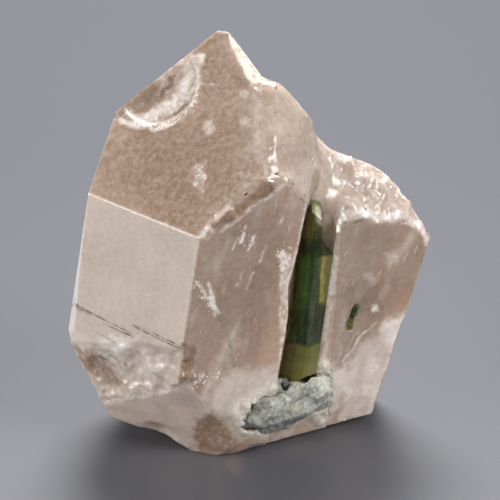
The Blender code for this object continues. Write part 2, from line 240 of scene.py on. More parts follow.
def number_flat_faces(bm, smallest):
    """Numbers the triangles so that those of one flat face share a number. Others get -1."""
    label = bm.faces.layers.int.new("flat")
    for face in bm.faces:
        face[label] = -2
    flats = []
    for seed in sorted(bm.faces, key=lambda face: -face.calc_area()):
        if seed[label] != -2:
            continue
        number, members, waiting = len(flats), [], [seed]
        seed[label] = number
        while waiting:
            face = waiting.pop()
            members.append(face)
            for edge in face.edges:
                for other in edge.link_faces:
                    if other[label] != -2:
                        continue
                    alike = other.normal.dot(seed.normal)
                    if alike > 0.99998 or other.calc_area() < 1e-4 and alike > 0.9:
                        other[label] = number
                        waiting.append(other)
        area = sum(face.calc_area() for face in members)
        if area < smallest:
            for face in members:
                face[label] = -1
        else:
            flats.append(np.array(seed.normal))
    return label, flats


def split_edges(bm, label, pitch):
    """Halves each edge that is longer than its faces' pitch allows, apart from those inside flat faces."""
    for _ in range(9):
        long_edges = []
        for edge in bm.edges:
            one, other = edge.link_faces
            if one[label] == other[label] >= 0:
                continue
            if edge.calc_length() > 1.3 * min(one[pitch], other[pitch]):
                long_edges.append(edge)
        if not long_edges:
            return
        bmesh.ops.bisect_edges(bm, edges=long_edges, cuts=1)
        loose = [face for face in bm.faces if face[label] < 0 and len(face.verts) > 3]
        bmesh.ops.triangulate(bm, faces=loose, quad_method="SHORT_EDGE", ngon_method="BEAUTY")


def fill_flat_face(points, edges, normal, pitch):
    """Fills a flat outline, holes too, with near-even triangles, from rows of points inside it.

    Gives the new inner points and the triangles, as numbers into the outline's points and then the new ones.
    """
    across = np.cross(normal, (0.0, 0.0, 1.0) if abs(normal[2]) < 0.9 else (1.0, 0.0, 0.0))
    across /= np.linalg.norm(across)
    upward = np.cross(normal, across)
    flat = np.stack((points @ across, points @ upward), axis=-1)
    low, high = flat.min(axis=0), flat.max(axis=0)
    rows = np.arange(low[1], high[1], pitch * 0.866)
    columns = np.arange(low[0], high[0] + pitch, pitch)
    grid = np.stack(np.meshgrid(columns, rows), axis=-1)
    grid[1::2, :, 0] += 0.5 * pitch
    grid = grid.reshape(-1, 2)
    starts, ends = flat[edges[:, 0]], flat[edges[:, 1]]

    def within(places):
        crossed = np.zeros(len(places), dtype=bool)
        for start, end in zip(starts, ends):
            low_end, high_end = (start, end) if start[1] <= end[1] else (end, start)
            between = (places[:, 1] >= low_end[1]) & (places[:, 1] < high_end[1])
            if between.any():
                reach = low_end[0] + (places[between, 1] - low_end[1]) * (high_end[0] - low_end[0]) / (
                    high_end[1] - low_end[1])
                crossed[between] ^= places[between, 0] < reach
        return crossed

    grid = grid[within(grid)]
    tree = kdtree.KDTree(len(flat))
    for index, place in enumerate(flat):
        tree.insert((place[0], place[1], 0.0), index)
    tree.balance()
    clear = np.array([tree.find((x, y, 0.0))[2] > 0.55 * pitch for x, y in grid], dtype=bool)
    grid = grid[clear] if len(grid) else grid
    every = np.concatenate((flat, grid))
    made = delaunay_2d_cdt([Vector(place) for place in every], edges.tolist(), [], 0, 1e-6)
    numbers = np.array([sources[0] if sources else -1 for sources in made[3]])
    triangles = numbers[np.array(made[2])]
    triangles = triangles[(triangles >= 0).all(axis=1)]
    triangles = triangles[within(every[triangles].mean(axis=1))]
    a, b, c = (every[triangles[:, side]] for side in range(3))
    area = (b[:, 0] - a[:, 0]) * (c[:, 1] - a[:, 1]) - (b[:, 1] - a[:, 1]) * (c[:, 0] - a[:, 0])
    facing = np.dot(np.cross(across, upward), normal)
    triangles[area * facing < 0] = triangles[area * facing < 0][:, ::-1]
    height = (points @ normal).mean()
    inner = grid[:, :1] * across + grid[:, 1:] * upward + height * normal
    return inner, triangles


class Surface:
    """A fine triangle mesh held as arrays: points in mm, triangles, and the flat face each belongs to."""

    def __init__(self, points, triangles, flat_of):
        self.points = points
        self.triangles = triangles
        self.flat_of = flat_of

    def normals(self):
        """The area-weighted normal at each point."""
        a, b, c = (self.points[self.triangles[:, side]] for side in range(3))
        facing = np.cross(b - a, c - a)
        total = np.zeros_like(self.points)
        for side in range(3):
            for axis in range(3):
                total[:, axis] += np.bincount(self.triangles[:, side], facing[:, axis], len(self.points))
        return total / np.maximum(np.linalg.norm(total, axis=1), 1e-12)[:, None]

    def point_flats(self):
        """For each point, the one flat face that it lies in, or -1 on an edge or on broken ground."""
        low = np.full(len(self.points), 10 ** 6)
        high = np.full(len(self.points), -10 ** 6)
        for side in range(3):
            np.minimum.at(low, self.triangles[:, side], self.flat_of)
            np.maximum.at(high, self.triangles[:, side], self.flat_of)
        return np.where(low == high, low, -1), high

    def smooth(self, free, rounds, share=0.5):
        """Draws the free points towards the middle of their neighbours, a number of times."""
        pairs = np.concatenate([self.triangles[:, [side, (side + 1) % 3]] for side in range(3)])
        pairs = np.unique(np.sort(pairs[free[pairs].any(axis=1)], axis=1), axis=0)
        count = np.bincount(pairs.ravel(), minlength=len(self.points))[:, None]
        for _ in range(rounds):
            total = np.zeros_like(self.points)
            for axis in range(3):
                total[:, axis] += np.bincount(pairs[:, 0], self.points[pairs[:, 1], axis], len(self.points))
                total[:, axis] += np.bincount(pairs[:, 1], self.points[pairs[:, 0], axis], len(self.points))
            middle = total / np.maximum(count, 1)
            self.points[free] += share * (middle - self.points)[free]

    def folded(self):
        """True for the points of triangles that face well away from the surface round them."""
        a, b, c = (self.points[self.triangles[:, side]] for side in range(3))
        facing = np.cross(b - a, c - a)
        area = 0.5 * np.linalg.norm(facing, axis=1)
        facing /= np.maximum(2.0 * area, 1e-12)[:, None]
        around = self.normals()[self.triangles].mean(axis=1)
        turned = ((facing * around).sum(axis=1) < 0.35) & (area > 0.003)
        points = np.zeros(len(self.points), dtype=bool)
        points[self.triangles[turned]] = True
        return points


def refined(node, smallest_flat, pitch_at):
    """A fine copy of a CAD node's surface. pitch_at gives the triangle size in mm for a place and facing."""
    bm = merged_copy(node)
    label, flats = number_flat_faces(bm, smallest_flat)
    pitch = bm.faces.layers.float.new("pitch")
    for face in bm.faces:
        face[pitch] = pitch_at(np.array(face.calc_center_median()), np.array(face.normal))
    pitches = [min(face[pitch] for face in bm.faces if face[label] == number) for number in range(len(flats))]
    for face in bm.faces:
        face[pitch] = pitches[face[label]] if face[label] >= 0 else face[pitch]
    split_edges(bm, label, pitch)
    bm.verts.index_update()
    points = [np.array([vert.co for vert in bm.verts])]
    triangles = [np.array([[vert.index for vert in face.verts] for face in bm.faces if face[label] < 0])]
    flat_of = [np.full(len(triangles[0]), -1)]
    rims = [[] for _ in flats]
    for edge in bm.edges:
        numbers = [face[label] for face in edge.link_faces]
        for number in set(numbers):
            if number >= 0 and numbers.count(number) == 1:
                rims[number].append([vert.index for vert in edge.verts])
    total = len(points[0])
    for number, normal in enumerate(flats):
        rim = np.array(rims[number])
        corners, ends = np.unique(rim, return_inverse=True)
        ends = ends.reshape(rim.shape)
        inner, filled = fill_flat_face(points[0][corners], ends, normal, pitches[number])
        lookup = np.concatenate((corners, total + np.arange(len(inner))))
        points.append(inner)
        triangles.append(lookup[filled])
        flat_of.append(np.full(len(filled), number))
        total += len(inner)
    bm.free()
    surface = Surface(np.concatenate(points), np.concatenate(triangles), np.concatenate(flat_of))
    return surface, np.array(flats)


def add_mesh(name, points, faces, material, smooth=None, sharp_angle=30.0):
    """A mesh object at the origin, from points in mm."""
    mesh = bpy.data.meshes.new(name)
    mesh.from_pydata((np.asarray(points) * MM).tolist(), [], np.asarray(faces).tolist())
    mesh.validate()
    flags = np.ones(len(mesh.polygons), dtype=bool) if smooth is None else smooth
    mesh.polygons.foreach_set("use_smooth", flags)
    if sharp_angle:
        mesh.set_sharp_from_angle(angle=math.radians(sharp_angle))
    mesh.materials.append(material)
    made = bpy.data.objects.new(name, mesh)
    bpy.context.scene.collection.objects.link(made)
    return made


def add_colours(piece, name, *channels):
    """Stores up to four numbers per point, which the piece's material reads by name."""
    values = np.ones((len(piece.data.vertices), 4), dtype=np.float32)
    for index, channel in enumerate(channels):
        values[:, index] = channel
    layer = piece.data.attributes.new(name, "FLOAT_COLOR", "POINT")
    layer.data.foreach_set("color", values.ravel())


def weld(piece, sharp_angle, sliver=0.001):
    """Joins a piece's points that coincide, drops faces thinner than a sliver in mm, and marks sharp edges."""
    bm = bmesh.new()
    bm.from_mesh(piece.data)
    bmesh.ops.remove_doubles(bm, verts=bm.verts[:], dist=0.004 * MM)
    bmesh.ops.dissolve_degenerate(bm, edges=bm.edges[:], dist=sliver * MM)
    bmesh.ops.triangulate(bm, faces=bm.faces[:], quad_method="SHORT_EDGE", ngon_method="BEAUTY")
    bmesh.ops.recalc_face_normals(bm, faces=bm.faces[:])
    bm.to_mesh(piece.data)
    bm.free()
    piece.data.set_sharp_from_angle(angle=math.radians(sharp_angle))


# Materials

def linear(code):
    """An sRGB hex colour as linear light, with full alpha."""
    shares = [int(code[start:start + 2], 16) / 255.0 for start in (1, 3, 5)]
    light = [((share + 0.055) / 1.055) ** 2.4 if share > 0.04045 else share / 12.92 for share in shares]
    return (*light, 1.0)


def add_node(tree, kind, settings=(), inputs=()):
    """Adds a node with its settings. An input takes a value, a hex colour or another node's output."""
    made = tree.nodes.new("ShaderNode" + kind)
    for name, value in dict(settings).items():
        setattr(made, name, value)
    for name, value in dict(inputs).items():
        if isinstance(value, bpy.types.NodeSocket):
            tree.links.new(value, made.inputs[name])
        else:
            made.inputs[name].default_value = linear(value) if isinstance(value, str) else value
    return made


def new_material(name):
    """An empty node material with its output node."""
    made = bpy.data.materials.new(name)
    made.use_nodes = True
    made.node_tree.nodes.clear()
    return made, made.node_tree, made.node_tree.nodes.new("ShaderNodeOutputMaterial")


def mixed(tree, share, low, high):
    """A colour between two others."""
    return add_node(tree, "Mix", {"data_type": "RGBA"}, {0: share, 6: low, 7: high}).outputs[2]


def ranged(tree, value, low, high, from_low=0.0, from_high=1.0):
    """A number moved from one range to another, and held inside it."""
    return add_node(tree, "MapRange", (), {0: value, 1: from_low, 2: from_high, 3: low, 4: high}).outputs[0]


def worked(tree, operation, first, second):
    """Two numbers put together by one sum."""
    return add_node(tree, "Math", {"operation": operation}, {0: first, 1: second}).outputs[0]


def held_back(tree, pattern, amount, hold, most, low, high):
    """A pattern that thins out as an amount falls, which holds it back by up to this much.

    It rises from nothing at low to its most at high.
    """
    held = worked(tree, "ADD", pattern, ranged(tree, amount, -hold, 0.0))
    return ranged(tree, held, 0.0, most, low, high)


def grain_noise(tree, place, size, detail=3.0, roughness=0.55):
    """Noise whose lumps are about this many mm wide, read from Object coordinates in metres."""
    made = add_node(tree, "TexNoise", (), {
        "Vector": place, "Scale": 1.0 / (size * MM), "Detail": detail, "Roughness": roughness,
    })
    return made.outputs["Fac"]


def drawn_out(tree, place, line, stretch):
    """Places for a pattern that is this many times longer along a line than across it."""
    turn = Vector((0.0, 0.0, 1.0)).rotation_difference(Vector(line)).to_euler()
    made = add_node(tree, "Mapping", {"vector_type": "TEXTURE"}, {
        "Vector": place, "Rotation": tuple(turn), "Scale": (1.0, 1.0, stretch),
    })
    return made.outputs[0]


def read_channels(tree, name):
    """The four numbers of a colour attribute."""
    source = add_node(tree, "Attribute", {"attribute_name": name})
    parts = add_node(tree, "SeparateColor", (), {0: source.outputs["Color"]})
    return [parts.outputs[index] for index in range(3)] + [source.outputs["Alpha"]]


def quartz_material():
    """Smoky quartz, as grown in a pocket and partly broken: a hard brown glass with a glassy lustre,
    milky where healed cracks fill it, and frosted where the face was etched or crushed."""
    made, tree, output = new_material("smoky quartz, grown and broken")
    place = add_node(tree, "TexCoord").outputs["Object"]
    frost, milk_and_highlight, smoke_and_shade, crazed = read_channels(tree, "state")
    green, cream, dark, painted_glint = read_channels(tree, "stain_and_glint")
    cloud = grain_noise(tree, place, 1.1, 6.0, 0.68)
    speck = grain_noise(tree, place, 0.40, 2.0, 0.6)
    along = drawn_out(tree, place, CRACK_LINE, 4.5)
    shred = grain_noise(tree, along, 0.9, 6.0, 0.7)
    thread = grain_noise(tree, along, 0.5, 3.0, 0.6)
    grown = drawn_out(tree, place, GROWTH_LINE, 40.0)
    growth = ranged(tree, grain_noise(tree, grown, 0.40, 2.0, 0.6), 0.0, 1.0, 0.48, 0.56)
    cells = add_node(tree, "TexVoronoi", (), {"Vector": place, "Scale": 1.0 / (0.30 * MM)})
    lot = add_node(tree, "SeparateColor", (), {0: cells.outputs["Color"]})
    wisps = held_back(tree, shred, crazed, 0.30, 1.0, 0.50, 0.70)
    # Glints are white cells painted into the colour, as far as the glint amount lets them: painted glints.
    glints = held_back(tree, lot.outputs[0], painted_glint, 0.60, 0.9, 0.55, 0.75)
    uneven = ranged(tree, cloud, -0.5, 0.5, 0.30, 0.70)
    mottle = worked(tree, "MULTIPLY", uneven, ranged(tree, frost, 0.12, 0.34))
    whiteness = worked(tree, "ADD", milk_and_highlight, mottle)
    powder = worked(tree, "MULTIPLY", frost, ranged(tree, speck, 0.0, 0.25, 0.60, 0.74))
    whiteness = worked(tree, "ADD", whiteness, powder)
    whiteness = worked(tree, "MAXIMUM", whiteness, worked(tree, "MULTIPLY", wisps, 0.85))
    whiteness = worked(tree, "MAXIMUM", whiteness, glints)
    whiteness = ranged(tree, whiteness, 0.0, 1.0)
    # Browner where smoky, and where shade is painted along the scar's steps and under the crest.
    brown = ranged(tree, worked(tree, "SUBTRACT", smoke_and_shade, mottle), 0.0, 1.0)
    clear = mixed(tree, brown, "#EDD5C0", "#A4866B")
    # This pale colour is the milky quartz's own, and it also paints glints and highlights where marks ask for
    # it.
    colour = mixed(tree, whiteness, clear, "#F4EDE7")
    # Cream tints the tip, and on the shoulder it is a painted highlight.
    colour = mixed(tree, cream, colour, "#EFE4CF")
    green = worked(tree, "MULTIPLY", green, ranged(tree, speck, 0.35, 1.0, 0.42, 0.58))
    colour = mixed(tree, green, colour, "#6F7650")
    gap = held_back(tree, thread, crazed, 0.25, 0.45, 0.60, 0.70)
    dark = worked(tree, "MULTIPLY", dark, growth)
    colour = mixed(tree, worked(tree, "MAXIMUM", dark, gap), colour, "#6F5D4E")
    through = worked(tree, "MULTIPLY", ranged(tree, whiteness, 0.80, 0.12), ranged(tree, frost, 1.0, 0.35))
    stained = worked(tree, "MAXIMUM", worked(tree, "MAXIMUM", green, dark), cream)
    through = worked(tree, "MULTIPLY", through, ranged(tree, stained, 1.0, 0.3))
    dull = worked(tree, "ADD", ranged(tree, frost, 0.05, 0.60), ranged(tree, speck, -0.03, 0.06, 0.3, 0.7))
    pits = grain_noise(tree, place, 0.45, 3.0, 0.6)
    lines = add_node(tree, "Bump", (), {
        "Height": pits, "Strength": worked(tree, "MULTIPLY", frost, 0.22), "Distance": 0.04 * MM,
    })
    swell = add_node(tree, "Bump", (), {
        "Height": grain_noise(tree, place, 3.5, 2.0), "Strength": 0.30, "Distance": 0.20 * MM,
        "Normal": lines.outputs[0],
    })
    shader = add_node(tree, "BsdfPrincipled", (), {
        "Base Color": colour,
        "Transmission Weight": through,
        "Roughness": dull,
        "IOR": 1.544,
        "Subsurface Weight": 1.0,
        "Subsurface Radius": (1.0, 0.92, 0.86),
        "Subsurface Scale": 2.2 * MM,
        "Normal": swell.outputs[0],
    })
    tree.links.new(shader.outputs[0], output.inputs["Surface"])
    haze = add_node(tree, "VolumeAbsorption", (), {"Color": "#DFC9AD", "Density": 20.0})
    tree.links.new(haze.outputs[0], output.inputs["Volume"])
    return made


def tourmaline_material():
    """Green tourmaline, as grown: a glassy prism with fine lengthwise grooves, deep green and nearly
    opaque in the thick, which turns olive and gold where it is thin or its colour zones change."""
    made, tree, output = new_material("green tourmaline, grown prism")
    place = add_node(tree, "TexCoord").outputs["Object"]
    bright, olive, black, _ = read_channels(tree, "zones")
    gold, grey, pale, _ = read_channels(tree, "streaks")
    axis = lean_matrix(TOURMALINE_LEAN)[:, 2]
    along = drawn_out(tree, place, axis, 20.0)
    thread = grain_noise(tree, along, 0.35, 3.0, 0.6)
    patchy = grain_noise(tree, place, 2.0, 3.0, 0.6)
    layers = grain_noise(tree, drawn_out(tree, place, axis, 0.12), 4.0, 4.0, 0.7)
    fine = grain_noise(tree, along, 0.14, 3.0, 0.6)
    deep = mixed(tree, ranged(tree, patchy, 0.0, 1.0, 0.3, 0.7), "#1B2A0B", "#2A3C10")
    colour = mixed(tree, bright, deep, "#3E6A22")
    colour = mixed(tree, olive, colour, "#757036")
    for amount, grain, code in (
        (black, ranged(tree, thread, 0.55, 1.0, 0.4, 0.6), "#131D0A"),
        (gold, ranged(tree, fine, 0.15, 1.0, 0.45, 0.62), "#BEAE55"),
        # Grey: a painted reflection down one facet of the prism, and the needle's own grey green.
        (grey, ranged(tree, fine, 0.4, 1.0, 0.4, 0.6), "#586353"),
    ):
        colour = mixed(tree, worked(tree, "MULTIPLY", amount, grain), colour, code)
    # Pale: a painted highlight on the prism's top.
    colour = mixed(tree, pale, colour, "#D8D5BC")
    colour = mixed(tree, ranged(tree, fine, 0.0, 0.55, 0.52, 0.72), colour, "#6F7A3E")
    colour = mixed(tree, ranged(tree, layers, 0.0, 0.5, 0.52, 0.72), colour, "#141C0A")
    grooves = add_node(tree, "Bump", (), {"Height": thread, "Strength": 0.5, "Distance": 0.08 * MM})
    shader = add_node(tree, "BsdfPrincipled", (), {
        "Base Color": colour,
        "Roughness": ranged(tree, thread, 0.10, 0.26),
        "IOR": 1.63,
        "Specular IOR Level": 0.30,
        "Transmission Weight": 0.15,
        "Normal": grooves.outputs[0],
    })
    tree.links.new(shader.outputs[0], output.inputs["Surface"])
    haze = add_node(tree, "VolumeAbsorption", (), {"Color": "#4E7A35", "Density": 300.0})
    tree.links.new(haze.outputs[0], output.inputs["Volume"])
    return made


def mica_material():
    """Pale mica and feldspar, as broken: a felt of fine silvery flakes with a faint green cast,
    white feldspar grains and small glints where a flake lies towards the light."""
    made, tree, output = new_material("pale mica and feldspar, broken")
    place = add_node(tree, "TexCoord").outputs["Object"]
    dark, yellow, white, _ = read_channels(tree, "grain")
    flakes = add_node(tree, "TexVoronoi", (), {"Vector": place, "Scale": 1.0 / (0.5 * MM)})
    shade = add_node(tree, "SeparateColor", (), {0: flakes.outputs["Color"]})
    cloud = grain_noise(tree, place, 1.4, 5.0, 0.65)
    colour = mixed(tree, ranged(tree, cloud, 0.0, 1.0, 0.35, 0.65), "#7F8177", "#AFAEA6")
    colour = mixed(tree, ranged(tree, shade.outputs[0], 0.0, 0.40, 0.7, 1.0), colour, "#D8D6CE")
    colour = mixed(tree, ranged(tree, shade.outputs[1], 0.0, 0.70, 0.72, 1.0), colour, "#59634F")
    colour = mixed(tree, white, colour, "#EAE8E2")
    colour = mixed(tree, yellow, colour, "#A9A25C")
    # Dark: painted shade in the sunken pit, and a darker patch low on the left.
    colour = mixed(tree, dark, colour, "#3A3D36")
    bump = add_node(tree, "Bump", (), {
        "Height": worked(tree, "ADD", cloud, shade.outputs[2]), "Strength": 0.7, "Distance": 0.25 * MM,
    })
    shader = add_node(tree, "BsdfPrincipled", (), {
        "Base Color": colour,
        "Roughness": ranged(tree, shade.outputs[2], 0.25, 0.85, 0.0, 0.35),
        "IOR": 1.56,
        "Normal": bump.outputs[0],
    })
    tree.links.new(shader.outputs[0], output.inputs["Surface"])
    return made


def floor_material():
    """A matt grey studio board."""
    made, tree, output = new_material("matt grey board")
    shader = add_node(tree, "BsdfPrincipled", (), {
        "Base Color": "#505156", "Roughness": 0.42, "Specular IOR Level": 0.15,
    })
    tree.links.new(shader.outputs[0], output.inputs["Surface"])
    return made


# The quartz

# Healed cracks run steeply up to the right through the front of the crystal, and growth lines cross the
# lower left face, down to the right.
CRACK_LINE = np.array((0.34, 0.10, 0.93)) / np.linalg.norm((0.34, 0.10, 0.93))
GROWTH_LINE = np.array((0.793, -0.588, -0.162))

# How a face looks, each from 0 to 1: how frosted, milky and smoky it is, and how far feathery cracks and
# painted glints, white specks painted into the colour, show in it. Grown faces have their bearing and slope
# first. Grown faces that aren't named are plain.
STATE_NAMES = ("frost", "milk_and_highlight", "smoke_and_shade", "crazed", "painted_glint")
STAIN_NAMES = ("green", "cream", "dark")
PLAIN_FACE = (0.12, 0.24, 0.58, 0.65, 0.12)
FACE_STATES = {
    "upper left": (FRONT_LEFT, END_SLOPE, (0.62, 0.09, 0.78, 0.15, 0.10)),
    "lower left": (FRONT_LEFT, 0.0, (0.06, 0.56, 0.12, 0.20, 0.05)),
    "front": (FRONT, 0.0, (0.07, 0.17, 0.46, 0.70, 0.22)),
    "left strip": (-160.0, -1.4, (0.10, 1.0, 0.0, 0.30, 0.05)),
    "slope": (FRONT, END_SLOPE, (0.32, 0.32, 0.50, 0.65, 0.25)),
    "shoulder": (-33.0, 34.0, (0.25, 0.44, 0.38, 0.65, 0.30)),
    "back": (BACK, 0.0, (0.07, 0.16, 0.72, 0.65, 0.10)),
    "back right": (BACK_RIGHT, 0.0, (0.10, 0.30, 0.48, 0.70, 0.15)),
    "left": (LEFT, 0.0, (0.06, 0.34, 0.40, 0.50, 0.08)),
    "back slope": (BACK, END_SLOPE, (0.45, 0.10, 0.72, 0.30, 0.10)),
}
BROKEN_STATE = (0.10, 0.56, 0.26, 0.60, 0.25)
# Where the back's upper faces point up, they are etched as dull as this.
BACK_FROST = 0.60

# Outlines and lines in the photo, in pixels. First the rounded ground on the upper right, the seams in it
# that are worn smoothest, and the shelly crust on its shoulder.
UPPER_RIGHT = [
    (255, 86), (262, 76), (266, 74), (284, 74), (310, 96), (332, 136), (350, 140), (392, 155), (416, 185),
    (440, 225), (436, 250), (428, 238), (412, 223), (333, 222), (322, 212), (310, 203), (287, 179),
    (262, 168), (253, 150), (254, 126),
]
SADDLE = [(256, 134), (288, 134), (298, 174), (284, 184), (258, 178), (250, 160)]
VALLEY = [(296, 112), (318, 122), (338, 140), (342, 190), (326, 208), (310, 202), (296, 180)]
CREST = [
    (226, 204), (250, 166), (270, 158), (296, 172), (312, 200), (302, 212), (282, 200), (262, 196),
    (244, 214), (232, 216),
]
CREST_LINE = ((205, 236), (234, 202), (254, 180), (270, 172), (288, 180), (304, 200))
# A line under the crest, painted with shade.
CREST_SHADE = ((214, 226), (240, 207), (270, 188))
CRUST = [
    (322, 136), (350, 140), (392, 155), (416, 185), (440, 225), (436, 248), (427, 240), (412, 221),
    (338, 221), (345, 205), (372, 200), (340, 178), (328, 160),
]
CRUST_FOOT = ((338, 217), (360, 214), (386, 217), (408, 216), (424, 232))
LIT_CHEEK = [(262, 96), (290, 98), (312, 128), (316, 160), (296, 166), (262, 160)]
# The crescent chip on the upper left face, and the grey cloud at that face's lower right.
SCAR = [
    (112, 117), (120, 108), (150, 100), (160, 84), (158, 76), (172, 62), (190, 50), (204, 62), (207, 84),
    (198, 104), (182, 120), (158, 131), (134, 127),
]
SCAR_HOLLOW = [(116, 113), (124, 100), (150, 82), (160, 84), (166, 96), (152, 110), (132, 117)]
SCAR_BEND = ((134, 124), (152, 116), (168, 106), (180, 94), (188, 80), (196, 66))
# Lines along the scar's steps and in its notch, painted with shade.
SCAR_SHADE = ((160, 119), (174, 115), (186, 104))
SCAR_NOTCH = ((173, 78), (168, 86), (164, 94))
TIP_STAIN = [(229, 35), (236, 40), (266, 80), (250, 84), (243, 68), (232, 48)]
WHITE_FLECK = [(192, 165), (203, 162), (206, 178), (202, 194), (194, 186)]
GREY_PATCH = [(238, 170), (246, 158), (262, 150), (272, 160), (268, 190), (252, 212), (236, 222), (226, 214)]
# Broken ground along the foot and low on the right.
CRUSHED_FOOT = [
    (68, 345), (95, 352), (120, 345), (150, 350), (182, 352), (200, 378), (180, 388), (140, 398), (103, 405),
    (78, 372),
]
FOOT_EDGE = ((100, 403), (140, 397), (190, 385), (204, 376))
FOOT_CORNER = [(182, 344), (196, 346), (192, 376), (180, 384)]
FOOT_WINDOW = [(190, 450), (194, 424), (210, 412), (236, 414), (252, 430), (250, 444), (225, 456)]
SIDE_BREAK = [
    (342, 400), (345, 362), (360, 345), (385, 322), (408, 312), (404, 340), (390, 385), (380, 414),
    (340, 425),
]
SIDE_FLECK = [(385, 256), (396, 252), (400, 262), (390, 268)]
# The clear quartz round the tourmaline, the pane beside its notch, the tourmaline itself and the matrix
# patch.
GLASSY = [
    (279, 262), (296, 245), (306, 206), (326, 212), (346, 222), (343, 300), (338, 360), (322, 372),
    (279, 380),
]
NOTCH_PANE = [(323, 212), (336, 221), (335, 257), (327, 255), (320, 246)]
TOURMALINE_SEEN = [
    (309, 201), (323, 208), (322, 243), (328, 254), (335, 256), (332, 276), (325, 322), (322, 366),
    (300, 376), (277, 380), (281, 358), (285, 337), (288, 315), (288, 287), (291, 277), (297, 253),
    (302, 229), (307, 206),
]
MATRIX_SEEN = [
    (323, 368), (300, 378), (279, 383), (267, 392), (235, 412), (247, 431), (270, 427), (297, 414),
    (319, 417), (330, 403), (329, 386),
]
MATRIX_RIM = MATRIX_SEEN + MATRIX_SEEN[:1]
